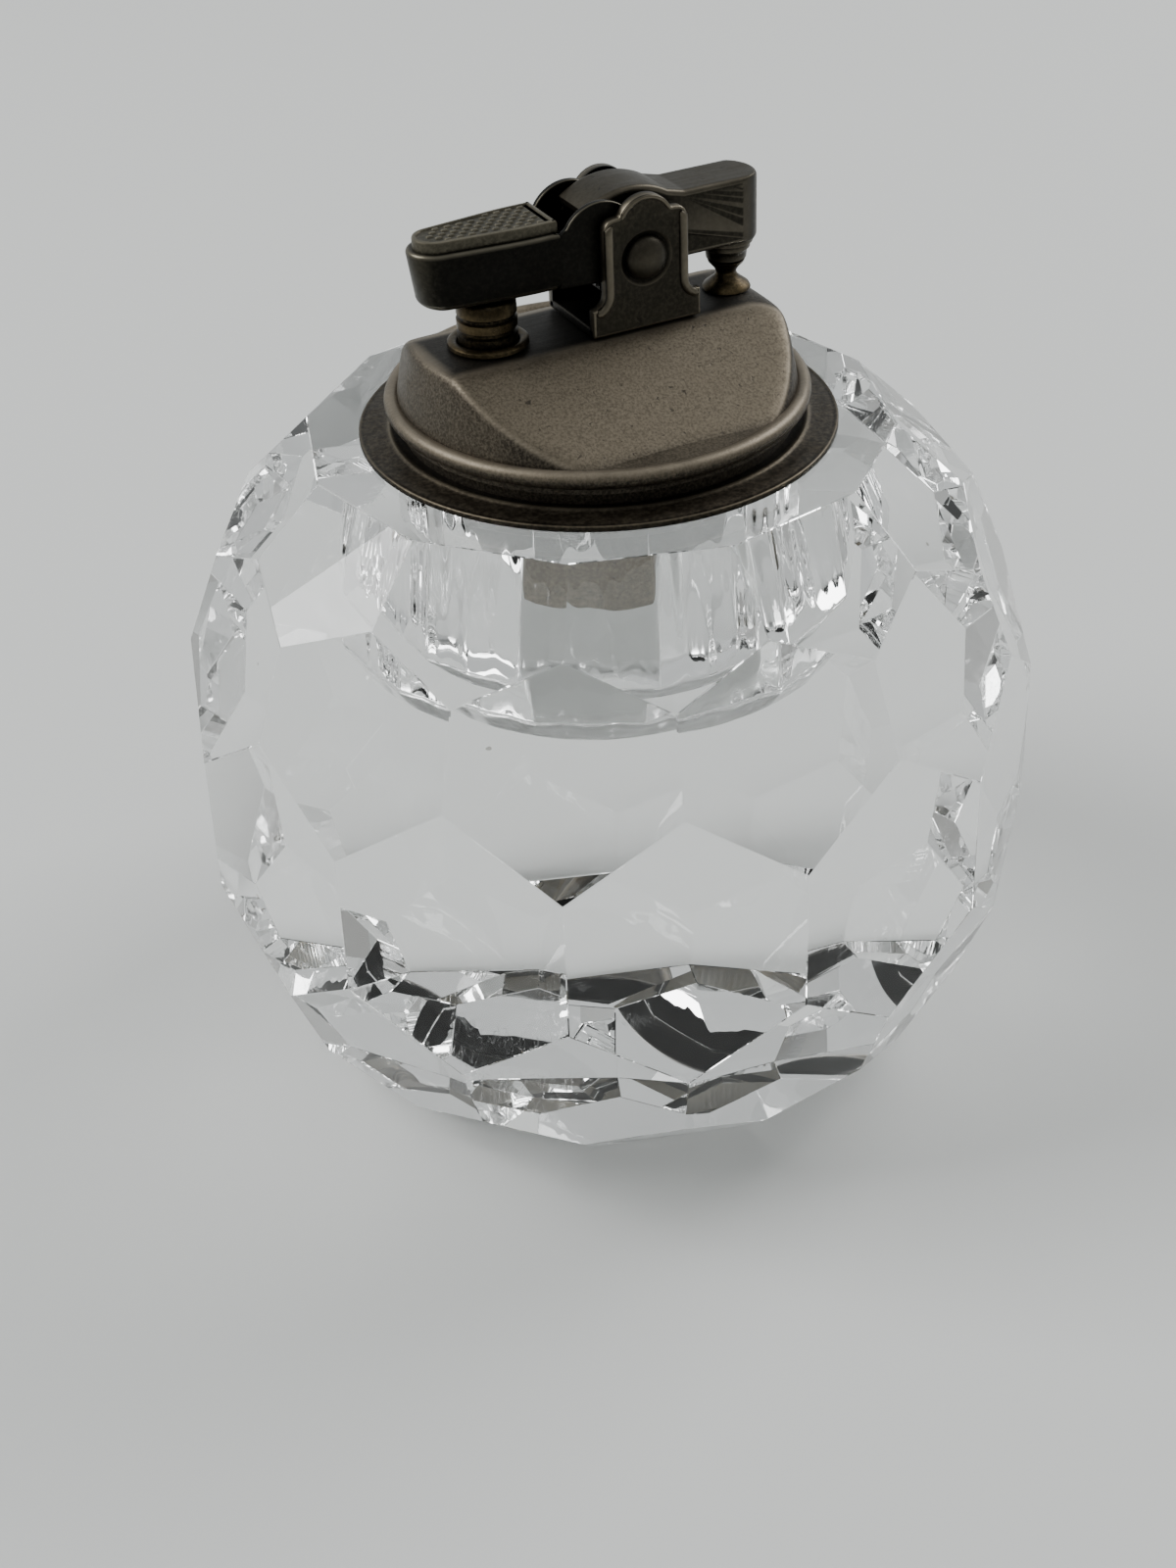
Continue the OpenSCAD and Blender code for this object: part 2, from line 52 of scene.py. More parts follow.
# metres in a millimetre, the sharpest turn that stays smooth in degrees, how far inside its rim a flat
# face starts in millimetres, and a full turn in radians
MM = 0.001
CREASE = 38.0
SEAM = 0.12
FULL_TURN = 2 * np.pi
Array = np.ndarray
Colour = tuple[float, float, float]


class Body(str, Enum):
    """The moving bodies of the frame."""

    BALL = "ball"
    INSERT = "insert"
    LEVER = "lever"
    SNUFFER = "snuffer"
    PLUNGER = "plunger"


class Axis(Enum):
    """Which way a profile's depth runs: along Y for side views, along Z for plans."""

    Y = "y"
    Z = "z"


# ---------------------------------------------------------------- surfaces


@dataclass
class Shell:
    """A surface in millimetres, with how worn it is and how pale it is painted at each point: its finish, and
    painted light and shade.
    """

    points: Array
    faces: list[tuple[int, ...]]
    wear: Array
    tone: Array

    def mirrored_y(self) -> "Shell":
        """The same surface on the other side of y = 0."""
        flipped = self.points * np.array([1.0, -1.0, 1.0])
        return Shell(flipped, [face[::-1] for face in self.faces], self.wear, self.tone)


def grid_faces(rows: int, columns: int, offset: int = 0) -> list[tuple[int, ...]]:
    """Quads between neighbouring rows of points, where each row is a closed ring.

    Args:
        rows: number of rings.
        columns: points in each ring.
        offset: index of the first point.

    Returns:
        Faces as tuples of point indices.
    """
    row, column = np.mgrid[0 : rows - 1, 0:columns]
    after = (column + 1) % columns
    quads = np.stack([row * columns + column, row * columns + after,
                      (row + 1) * columns + after, (row + 1) * columns + column], axis=-1)
    return [tuple(quad) for quad in (quads.reshape(-1, 4) + offset).tolist()]


def loft(rings: Array, wear: Array | None = None, tone: float = 0.0, caps: bool = True) -> Shell:
    """Joins closed rings in order, and closes the first and the last with a flat face.

    Args:
        rings: array of rings, points and coordinates.
        wear: how worn each ring is, from 0 to 1.
        tone: how pale it is painted, for its finish and for painted light and shade, from 0 to 1.
        caps: whether both ends are closed.

    Returns:
        The closed surface.
    """
    count, size, _ = rings.shape
    faces = grid_faces(count, size)
    if caps:
        faces.append(tuple(range(size))[::-1])
        faces.append(tuple(range((count - 1) * size, count * size)))
    worn = np.zeros(count) if wear is None else np.asarray(wear, float)
    total = count * size
    return Shell(rings.reshape(-1, 3), faces, np.repeat(worn, size), np.full(total, tone))


def lathe(profile: Array, segments: int = 128, wear: Array | None = None, tone: float = 0.0,
          centre: tuple[float, float] = (0.0, 0.0)) -> Shell:
    """Turns a profile of radius and height round an upright axis: x = r cos a, y = r sin a.

    Args:
        profile: rows of radius and height, from one end of the outline to the other.
        segments: steps round the axis.
        wear: how worn each profile point is.
        tone: how pale it is painted, for its finish and for painted light and shade.
        centre: where the axis stands.

    Returns:
        The turned surface, closed at both ends.
    """
    angle = np.linspace(0, 2 * np.pi, segments, endpoint=False)
    radius = np.maximum(profile[:, :1], 1e-4)
    rings = np.stack([centre[0] + radius * np.cos(angle), centre[1] + radius * np.sin(angle),
                      np.repeat(profile[:, 1:2], segments, axis=1)], axis=-1)
    return loft(rings, wear, tone)


def arc(centre: tuple[float, float], radius: float, start: float, end: float, steps: int = 12) -> Array:
    """Points on a circle from one angle to another, in degrees."""
    angle = np.radians(np.linspace(start, end, steps))
    return np.stack([centre[0] + radius * np.cos(angle), centre[1] + radius * np.sin(angle)], axis=-1)


def rounded(corners: list[tuple[float, float, float]], steps: int = 8) -> Array:
    """A closed outline whose corners are rounded.

    Each corner becomes an arc that touches both of its sides, so a corner may turn either way.

    Args:
        corners: x, y and radius of each corner, in order.
        steps: points on each arc.

    Returns:
        The outline's points.
    """
    points = np.array(corners, float)
    spot, radius = points[:, :2], points[:, 2:]
    before = np.roll(spot, 1, axis=0) - spot
    after = np.roll(spot, -1, axis=0) - spot
    before /= np.linalg.norm(before, axis=1, keepdims=True)
    after /= np.linalg.norm(after, axis=1, keepdims=True)
    half = np.arccos(np.clip((before * after).sum(1, keepdims=True), -1, 1)) / 2
    reach = radius / np.tan(half)
    t = np.linspace(0, 1, steps)[None, :, None]
    start, end = (spot + before * reach)[:, None], (spot + after * reach)[:, None]
    corner = spot[:, None]
    weight = np.sin(half)[:, None]
    bottom = (1 - t) ** 2 + 2 * t * (1 - t) * weight + t**2
    curve = ((1 - t) ** 2 * start + 2 * t * (1 - t) * weight * corner + t**2 * end) / bottom
    outline = curve.reshape(-1, 2)
    gap = np.linalg.norm(outline - np.roll(outline, 1, axis=0), axis=1)
    return outline[gap > 1e-4]


def even(outline: Array, count: int) -> Array:
    """The same closed outline with points at even distances along it."""
    closed = np.vstack([outline, outline[:1]])
    length = np.concatenate([[0], np.cumsum(np.linalg.norm(np.diff(closed, axis=0), axis=1))])
    at = np.linspace(0, length[-1], count, endpoint=False)
    return np.stack([np.interp(at, length, closed[:, k]) for k in (0, 1)], axis=-1)


def inset(outline: Array, distance: float) -> Array:
    """Moves each point of a counter-clockwise outline inwards, square to the outline there."""
    ahead = np.roll(outline, -1, axis=0) - outline
    behind = outline - np.roll(outline, 1, axis=0)
    ahead /= np.linalg.norm(ahead, axis=1, keepdims=True)
    behind /= np.linalg.norm(behind, axis=1, keepdims=True)
    along = ahead + behind
    along /= np.linalg.norm(along, axis=1, keepdims=True)
    stretch = np.clip((along * ahead).sum(1, keepdims=True), 0.5, 1)
    return outline + np.stack([-along[:, 1], along[:, 0]], axis=-1) * distance / stretch


def counter_clockwise(outline: Array) -> Array:
    """The outline, turned round if it runs clockwise."""
    x, y = outline.T
    area = (x * np.roll(y, -1) - np.roll(x, -1) * y).sum()
    return outline if area > 0 else outline[::-1]


def slab(outline: Array, low: float, high: float, edge: float, axis: Axis, wear: float = 1.0,
         tone: float = 0.0, low_edge: float | None = None) -> Shell:
    """A plate of the outline's shape, whose rims are quarter rounds of the given radius.

    Args:
        outline: closed outline in the plate's plane.
        low: where the plate starts along its axis.
        high: where the plate ends.
        edge: radius of the rim at the high side.
        axis: the direction of the plate's thickness.
        wear: how worn the rims are.
        tone: how pale it is painted, for its finish and for painted light and shade.
        low_edge: radius of the rim at the low side, the same if not given.

    Returns:
        The closed plate.
    """
    outline = counter_clockwise(outline)
    low_edge = edge if low_edge is None else low_edge
    turn = np.linspace(0, np.pi / 2, 5)
    back = turn[::-1]
    depth = np.concatenate([[low], low + low_edge * (1 - np.sin(back)),
                            high - edge * (1 - np.sin(turn)), [high]])
    move = np.concatenate([[low_edge + SEAM], low_edge * (1 - np.cos(back)),
                           edge * (1 - np.cos(turn)), [edge + SEAM]])
    worn = np.concatenate([[0.0], np.sin(2 * back), np.sin(2 * turn), [0.0]]) * wear
    flat = np.stack([inset(outline, float(m)) for m in move])
    level = np.repeat(depth[:, None, None], outline.shape[0], axis=1)
    if axis is Axis.Y:
        rings = np.concatenate([flat[..., :1], level, flat[..., 1:]], axis=-1)
    else:
        rings = np.concatenate([flat, level], axis=-1)
    return loft(rings, worn, tone)


def carry(path: Array, across: float, height: float, y: float, wear: float = 0.6) -> Shell:
    """Carries a half-round rib along a path in the XZ plane, raised towards -Y.

    Args:
        path: rows of x and z along the middle of the rib.
        across: half of the rib's width.
        height: how far the rib stands out.
        y: the level that it stands on.
        wear: how worn its crest is.

    Returns:
        The closed rib.
    """
    along = np.gradient(path, axis=0)
    along /= np.linalg.norm(along, axis=1, keepdims=True)
    side = np.stack([-along[:, 1], along[:, 0]], axis=-1)
    turn = np.linspace(0, np.pi, 9)
    reach = np.concatenate([np.cos(turn), [-1.0, 1.0]]) * across
    rise = np.concatenate([np.sin(turn) * height, [-0.15, -0.15]])
    shrink = np.ones(len(path))
    shrink[[0, -1]] = 0.35
    spot = path[:, None] + side[:, None] * (reach[None, :, None] * shrink[:, None, None])
    level = np.repeat(y - rise[None, :, None] * np.clip(shrink[:, None, None], 0.6, 1), 1, axis=0)
    rings = np.concatenate([spot[..., :1], level, spot[..., 1:]], axis=-1)
    shell = loft(rings)
    shell.wear = np.tile(np.concatenate([np.sin(turn), [0, 0]]) * wear, len(path))
    return shell


# ---------------------------------------------------------------- finishes


class Graph:
    """Short calls that add shader nodes to a tree and link them."""

    def __init__(self, tree: bpy.types.NodeTree) -> None:
        """Keeps the tree that the nodes go into."""
        self.tree = tree

    def node(self, kind: str, **values: object) -> bpy.types.Node:
        """Adds a node and sets its properties."""
        made = self.tree.nodes.new(kind)
        for name, value in values.items():
            setattr(made, name, value)
        return made

    def put(self, socket: bpy.types.NodeSocket, value: object) -> None:
        """Links an output to the socket, or sets its value."""
        if isinstance(value, bpy.types.NodeSocket):
            self.tree.links.new(value, socket)
        else:
            socket.default_value = value

    def math(self, operation: str, a: object, b: object = 0.0, clamp: bool = False) -> bpy.types.NodeSocket:
        """A Math node on two values."""
        made = self.node("ShaderNodeMath", operation=operation, use_clamp=clamp)
        self.put(made.inputs[0], a)
        self.put(made.inputs[1], b)
        return made.outputs[0]

    def mix(self, factor: object, a: object, b: object) -> bpy.types.NodeSocket:
        """A colour between a and b."""
        made = self.node("ShaderNodeMix", data_type="RGBA")
        self.put(made.inputs[0], factor)
        self.put(made.inputs[6], a)
        self.put(made.inputs[7], b)
        return made.outputs[2]

    def span(self, value: object, low: float, high: float, to_low: object = 0.0,
             to_high: object = 1.0) -> bpy.types.NodeSocket:
        """Maps a value from one range to another, and holds it at the ends."""
        made = self.node("ShaderNodeMapRange")
        for name, item in zip(("Value", "From Min", "From Max", "To Min", "To Max"),
                              (value, low, high, to_low, to_high)):
            self.put(made.inputs[name], item)
        return made.outputs["Result"]

    def place(self, scale: tuple[float, float, float] = (1, 1, 1)) -> bpy.types.NodeSocket:
        """Object coordinates, stretched along the axes."""
        spot = self.node("ShaderNodeTexCoord").outputs["Object"]
        mapping = self.node("ShaderNodeMapping")
        self.put(mapping.inputs["Vector"], spot)
        mapping.inputs["Scale"].default_value = scale
        return mapping.outputs["Vector"]

    def noise(self, vector: object, scale: object, detail: float = 3.0, rough: float = 0.55,
              distortion: float = 0.0) -> bpy.types.NodeSocket:
        """Noise from 0 to 1."""
        made = self.node("ShaderNodeTexNoise")
        self.put(made.inputs["Vector"], vector)
        self.put(made.inputs["Scale"], scale)
        made.inputs["Detail"].default_value = detail
        made.inputs["Roughness"].default_value = rough
        made.inputs["Distortion"].default_value = distortion
        return made.outputs[0]

    def attribute(self, name: str) -> bpy.types.NodeSocket:
        """A value stored on the mesh."""
        return self.node("ShaderNodeAttribute", attribute_name=name).outputs["Fac"]


def new_group(name: str, inputs: dict[str, object], outputs: dict[str, str]) -> tuple[Graph, object, object]:
    """Starts a node group with named inputs and outputs.

    Args:
        name: the group's name.
        inputs: default value of each input; a tuple makes a colour.
        outputs: socket type of each output.

    Returns:
        The graph, its input node and its output node.
    """
    tree = bpy.data.node_groups.new(name, "ShaderNodeTree")
    for label, value in inputs.items():
        kind = "NodeSocketColor" if isinstance(value, tuple) else "NodeSocketFloat"
        tree.interface.new_socket(label, in_out="INPUT", socket_type=kind).default_value = value
    for label, kind in outputs.items():
        tree.interface.new_socket(label, in_out="OUTPUT", socket_type=kind)
    graph = Graph(tree)
    return graph, graph.node("NodeGroupInput"), graph.node("NodeGroupOutput")


def aged_metal_group() -> bpy.types.NodeTree:
    """Patina, cast grain, blotches, pits, scratches and worn edges of an antiqued metal, with the painted
    light and shade that the tone attribute carries.
    """
    graph, given, result = new_group(
        "AgedMetal",
        {"Patina": (0.05, 0.045, 0.035, 1), "Pale": (0.2, 0.18, 0.14, 1), "Worn": (0.4, 0.37, 0.3, 1),
         "Grain size": 2600.0, "Grain": 0.4, "Blotch": 0.5, "Wear": 0.8, "Smooth": 0.35, "Rough": 0.55},
        {"Color": "NodeSocketColor", "Roughness": "NodeSocketFloat", "Height": "NodeSocketFloat"})
    i = given.outputs
    spot = graph.place()
    blotch = graph.noise(spot, 210, 5, 0.6, 0.4)
    grain = graph.noise(spot, i["Grain size"], 4, 0.65)
    pit = graph.noise(spot, 1500, 2, 0.5, 0.6)
    scratch = graph.noise(graph.place((0.25, 6, 6)), 420, 3, 0.6)
    # Tone plus blotches: the finish's own paleness and random age, and also painted light where the tone is
    # set high and painted shade where it is set low.
    age_and_painted_light = graph.math("ADD", graph.attribute("tone"),
                        graph.math("MULTIPLY", graph.math("SUBTRACT", blotch, 0.5), i["Blotch"]))
    colour = graph.mix(graph.math("ADD", age_and_painted_light, 0.0, clamp=True), i["Patina"], i["Pale"])
    # Below zero the colour turns towards near black: grime from dark blotches, and painted shade where the
    # tone is set negative.
    grime_and_painted_shade = graph.span(age_and_painted_light, -1.0, 0.0, 0.85, 0.0)
    speck = graph.math("MULTIPLY", graph.span(grain, 0.42, 0.68), i["Grain"])
    colour = graph.mix(speck, colour, i["Worn"])
    dark = graph.math("MULTIPLY", graph.span(grain, 0.5, 0.3), i["Grain"])
    colour = graph.mix(dark, colour, i["Patina"])
    # The near-black colour of grime and of painted shade.
    colour = graph.mix(grime_and_painted_shade, colour, (0.003, 0.0028, 0.0025, 1))
    pitted = graph.span(pit, 0.66, 0.74)
    colour = graph.mix(graph.math("MULTIPLY", pitted, 0.7), colour, (0.012, 0.01, 0.008, 1))
    rub = graph.math("MULTIPLY", graph.attribute("wear"), graph.span(blotch, 0.25, 0.6, 0.45, 1.0))
    rub = graph.math("MULTIPLY", rub, i["Wear"], clamp=True)
    colour = graph.mix(rub, colour, i["Worn"])
    uneven = graph.math("ADD", graph.math("MULTIPLY", blotch, 0.6), graph.math("MULTIPLY", scratch, 0.4))
    rough = graph.span(uneven, 0.35, 0.65, i["Smooth"], i["Rough"])
    rough = graph.math("SUBTRACT", rough, graph.math("MULTIPLY", rub, 0.12), clamp=True)
    height = graph.math("ADD", graph.math("MULTIPLY", grain, i["Grain"]),
                        graph.math("MULTIPLY", scratch, 0.18))
    height = graph.math("SUBTRACT", height, graph.math("MULTIPLY", pitted, 0.8))
    graph.put(result.inputs["Color"], colour)
    graph.put(result.inputs["Roughness"], rough)
    graph.put(result.inputs["Height"], height)
    return graph.tree


def fibre_group() -> bpy.types.NodeTree:
    """Tangled fibres for cotton, felt and pressed fibre."""
    graph, given, result = new_group(
        "Fibre", {"Light": (0.8, 0.76, 0.66, 1), "Dark": (0.5, 0.46, 0.38, 1), "Size": 3000.0},
        {"Color": "NodeSocketColor", "Height": "NodeSocketFloat"})
    i = given.outputs
    strand = graph.noise(graph.place((1, 1, 0.2)), i["Size"], 5, 0.7, 1.5)
    cloud = graph.noise(graph.place(), 400, 3)
    graph.put(result.inputs["Color"], graph.mix(
        graph.math("MULTIPLY", graph.span(strand, 0.35, 0.65), graph.span(cloud, 0.3, 0.7, 0.6, 1.0)),
        i["Dark"], i["Light"]))
    graph.put(result.inputs["Height"], strand)
    return graph.tree


def polish_group() -> bpy.types.NodeTree:
    """Hairlines, specks and faint smears on polished glass or clear plastic."""
    graph, given, result = new_group(
        "Polish", {"Clear": (1.0, 1.0, 1.0, 1), "Speck": (0.3, 0.28, 0.25, 1), "Smear": 0.02},
        {"Color": "NodeSocketColor", "Roughness": "NodeSocketFloat", "Height": "NodeSocketFloat"})
    i = given.outputs
    spot = graph.place()
    speck = graph.span(graph.noise(spot, 620, 2, 0.5), 0.785, 0.8)
    hairs = []
    for stretch in ((9, 0.35, 1.2), (0.5, 7, 2.0)):
        line = graph.noise(graph.place(stretch), 260, 2, 0.5, 0.3)
        off_middle = graph.math("ABSOLUTE", graph.math("SUBTRACT", line, 0.5))
        hairs.append(graph.span(off_middle, 0.0, 0.004, 1.0, 0.0))
    patch = graph.span(graph.noise(spot, 55, 2), 0.58, 0.66)
    hair = graph.math("MULTIPLY", graph.math("MAXIMUM", hairs[0], hairs[1]), patch)
    graph.put(result.inputs["Color"], graph.mix(speck, i["Clear"], i["Speck"]))
    smear = graph.math("MULTIPLY", graph.span(graph.noise(spot, 70, 3), 0.5, 0.75), i["Smear"])
    dull = graph.math("ADD", smear, graph.math("MULTIPLY", hair, 0.12), clamp=True)
    graph.put(result.inputs["Roughness"], dull)
    graph.put(result.inputs["Height"], graph.math("MULTIPLY", hair, -1.0))
    return graph.tree


GROUPS: dict[str, bpy.types.NodeTree] = {}


def own_material(shader: bpy.types.Node) -> bpy.types.Material:
    """The material that holds a shader node."""
    return next(m for m in bpy.data.materials if m.node_tree == shader.id_data)


@dataclass(frozen=True)
class Finish:
    """What every finish has: a material slot of the record and a bump depth."""

    slot: str
    depth: float = 0.00003
    strength: float = 0.4

    def start(self, group: str) -> tuple[Graph, bpy.types.Node, bpy.types.Node]:
        """Starts a material with one Principled node and one shared effect group.

        Args:
            group: the name of the shared effect.

        Returns:
            The graph, the Principled node and the group node.
        """
        material = bpy.data.materials.new(self.slot)
        material.use_nodes = True
        graph = Graph(material.node_tree)
        shader = material.node_tree.nodes["Principled BSDF"]
        effect = graph.node("ShaderNodeGroup")
        effect.node_tree = GROUPS[group]
        graph.put(shader.inputs["Base Color"], effect.outputs["Color"])
        bump = graph.node("ShaderNodeBump")
        bump.inputs["Strength"].default_value = self.strength
        bump.inputs["Distance"].default_value = self.depth
        graph.put(bump.inputs["Height"], effect.outputs["Height"])
        graph.put(shader.inputs["Normal"], bump.outputs["Normal"])
        return graph, shader, effect


@dataclass(frozen=True)
class AgedMetal(Finish):
    """An antiqued metal: dark patina, paler where rubbed, palest on its edges."""

    patina: Colour = (0.05, 0.045, 0.035)
    pale: Colour = (0.2, 0.18, 0.14)
    worn: Colour = (0.4, 0.37, 0.3)
    grain_size: float = 2600.0
    grain: float = 0.4
    blotch: float = 0.5
    wear: float = 0.8
    smooth: float = 0.35
    rough: float = 0.55
    metallic: float = 0.9

    def build(self) -> bpy.types.Material:
        """The finish as a material."""
        graph, shader, effect = self.start("AgedMetal")
        for label, value in (("Patina", self.patina), ("Pale", self.pale), ("Worn", self.worn)):
            effect.inputs[label].default_value = (*value, 1)
        for label, value in (("Grain size", self.grain_size), ("Grain", self.grain), ("Blotch", self.blotch),
                             ("Wear", self.wear), ("Smooth", self.smooth), ("Rough", self.rough)):
            effect.inputs[label].default_value = value
        graph.put(shader.inputs["Roughness"], effect.outputs["Roughness"])
        shader.inputs["Metallic"].default_value = self.metallic
        return own_material(shader)


@dataclass(frozen=True)
class ClearFinish(Finish):
    """Polished crystal or clear plastic."""

    clear: Colour = (1.0, 1.0, 1.0)
    speck: Colour = (0.3, 0.28, 0.25)
    smear: float = 0.02
    ior: float = 1.52

    def build(self) -> bpy.types.Material:
        """The finish as a material."""
        graph, shader, effect = self.start("Polish")
        effect.inputs["Clear"].default_value = (*self.clear, 1)
        effect.inputs["Speck"].default_value = (*self.speck, 1)
        effect.inputs["Smear"].default_value = self.smear
        graph.put(shader.inputs["Roughness"], effect.outputs["Roughness"])
        shader.inputs["Transmission Weight"].default_value = 1.0
        shader.inputs["IOR"].default_value = self.ior
        return own_material(shader)


@dataclass(frozen=True)
class FibreFinish(Finish):
    """Cotton, felt or pressed fibre."""

    light: Colour = (0.8, 0.76, 0.66)
    dark: Colour = (0.5, 0.46, 0.38)
    size: float = 3000.0
    roughness: float = 0.9

    def build(self) -> bpy.types.Material:
        """The finish as a material."""
        _, shader, effect = self.start("Fibre")
        effect.inputs["Light"].default_value = (*self.light, 1)
        effect.inputs["Dark"].default_value = (*self.dark, 1)
        effect.inputs["Size"].default_value = self.size
        shader.inputs["Roughness"].default_value = self.roughness
        return own_material(shader)


FINISHES: tuple[Finish, ...] = (
    ClearFinish("crystal", clear=(0.985, 0.995, 0.99), depth=0.000004, strength=0.25),
    ClearFinish("clear_vinyl", clear=(0.93, 0.94, 0.92), smear=0.3, ior=1.45),
    AgedMetal("antique_pewter", patina=(0.02, 0.016, 0.011), pale=(0.115, 0.096, 0.068),
              worn=(0.24, 0.205, 0.155), grain_size=4200, grain=0.36, blotch=0.4, smooth=0.42, rough=0.6,
              depth=0.00004, metallic=0.8),
    AgedMetal("dark_flange", patina=(0.009, 0.0065, 0.004), pale=(0.036, 0.027, 0.017),
              worn=(0.2, 0.17, 0.12), grain=0.28, blotch=0.9, smooth=0.35, rough=0.55, metallic=0.85),
    AgedMetal("dark_bracket", patina=(0.01, 0.009, 0.006), pale=(0.045, 0.039, 0.028),
              worn=(0.2, 0.175, 0.13), grain=0.1, blotch=0.35, smooth=0.34, rough=0.52),
    AgedMetal("gunmetal_lever", patina=(0.007, 0.0065, 0.0045), pale=(0.03, 0.027, 0.019),
              worn=(0.16, 0.145, 0.11), grain=0.08, blotch=0.3, smooth=0.3, rough=0.48),
    AgedMetal("knurled_pad", patina=(0.014, 0.013, 0.009), pale=(0.07, 0.064, 0.046), worn=(0.2, 0.18, 0.135),
              grain=0.3, blotch=0.5, smooth=0.36, rough=0.52),
    AgedMetal("gunmetal_snuffer", patina=(0.01, 0.009, 0.006), pale=(0.05, 0.043, 0.031),
              worn=(0.17, 0.15, 0.115), grain=0.1, blotch=0.35, smooth=0.32, rough=0.5),
    AgedMetal("aged_brass", patina=(0.007, 0.0055, 0.003), pale=(0.1, 0.07, 0.03), worn=(0.3, 0.22, 0.11),
              grain=0.2, blotch=1.3, wear=0.55, smooth=0.25, rough=0.5, metallic=0.95),
    AgedMetal("tank_metal", patina=(0.12, 0.095, 0.06), pale=(0.36, 0.3, 0.21), worn=(0.55, 0.48, 0.36),
              grain=0.2, blotch=0.8, smooth=0.3, rough=0.5, metallic=0.9),
    AgedMetal("bright_steel", patina=(0.3, 0.3, 0.3), pale=(0.6, 0.6, 0.6), worn=(0.8, 0.8, 0.8),
              grain=0.15, blotch=0.8, smooth=0.18, rough=0.4, metallic=1.0),
    AgedMetal("wheel_steel", patina=(0.05, 0.05, 0.05), pale=(0.22, 0.21, 0.2), worn=(0.45, 0.44, 0.42),
              grain=0.4, blotch=0.9, smooth=0.3, rough=0.55, metallic=0.95),
    AgedMetal("flint_alloy", patina=(0.09, 0.09, 0.095), pale=(0.2, 0.2, 0.21), worn=(0.35, 0.35, 0.36),
              grain=0.6, blotch=0.6, smooth=0.5, rough=0.75, metallic=0.7),
    FibreFinish("cotton"),
    FibreFinish("felt", light=(0.55, 0.5, 0.4), dark=(0.25, 0.21, 0.15), size=2200),
    FibreFinish("red_fibre", light=(0.42, 0.1, 0.05), dark=(0.2, 0.04, 0.02), size=1800, roughness=0.7),
)


class Workshop:
    """Turns shells into named pieces, and gives every piece and CAD node its finish."""

    def __init__(self) -> None:
        """Builds the shared effects and every material."""
        GROUPS.update(AgedMetal=aged_metal_group(), Fibre=fibre_group(), Polish=polish_group())
        self.materials = {finish.slot: finish.build() for finish in FINISHES}

    def raw(self, name: str, shells: list[Shell], crease: float = CREASE) -> bpy.types.Object:
        """Puts shells into one mesh, with closed seams and faces that point outwards.

        Args:
            name: the piece's name.
            shells: its surfaces, in millimetres.
            crease: edges that turn more than this many degrees stay sharp.

        Returns:
            The new object.
        """
        mesh = bpy.data.meshes.new(name)
        starts = np.cumsum([0] + [len(s.points) for s in shells[:-1]])
        faces = [tuple(i + int(start) for i in face) for s, start in zip(shells, starts) for face in s.faces]
        mesh.from_pydata((np.concatenate([s.points for s in shells]) * MM).tolist(), [], faces)
        for label in ("wear", "tone"):
            values = np.concatenate([getattr(s, label) for s in shells]).astype(np.float32)
            mesh.attributes.new(label, "FLOAT", "POINT").data.foreach_set("value", values)
        work = bmesh.new()
        work.from_mesh(mesh)
        bmesh.ops.remove_doubles(work, verts=work.verts, dist=2e-7)
        bmesh.ops.dissolve_degenerate(work, edges=work.edges, dist=1e-8)
        bmesh.ops.recalc_face_normals(work, faces=work.faces)
        work.to_mesh(mesh)
        work.free()
        mesh.polygons.foreach_set("use_smooth", np.full(len(mesh.polygons), True))
        mesh.set_sharp_from_angle(angle=radians(crease))
        made = bpy.data.objects.new(name, mesh)
        bpy.context.scene.collection.objects.link(made)
        return made

    def finish(self, piece: bpy.types.Object, slot: str, body: Body, *nodes: str) -> None:
        """Gives a piece its finish and body, and hides the CAD nodes that it stands for."""
        piece.data.materials.clear()
        piece.data.materials.append(self.materials[slot])
        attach(piece, body.value)
        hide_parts(*nodes)
        LOG.info("%s: %d faces on %s", piece.name, len(piece.data.polygons), body.value)

    def cut(self, piece: bpy.types.Object, cutter: bpy.types.Object) -> None:
        """Takes the cutter's space out of a piece, and removes the cutter."""
        bite = piece.modifiers.new("cut", "BOOLEAN")
        bite.operation, bite.object, bite.solver = "DIFFERENCE", cutter, "EXACT"
        graph = bpy.context.evaluated_depsgraph_get()
        worked = bpy.data.meshes.new_from_object(piece.evaluated_get(graph))
        piece.modifiers.clear()
        piece.data = worked
        worked.set_sharp_from_angle(angle=radians(CREASE))
        bpy.data.objects.remove(cutter)

    def dress_frame(self) -> None:
        """Gives every CAD node the material of its slot in the record."""
        for part in frame["record"]["subparts"]:
            node = frame["nodes"][part["node"]]
            node.data.materials.clear()
            node.data.materials.append(self.materials[part["material_slot"]])


# ---------------------------------------------------------------- crystal


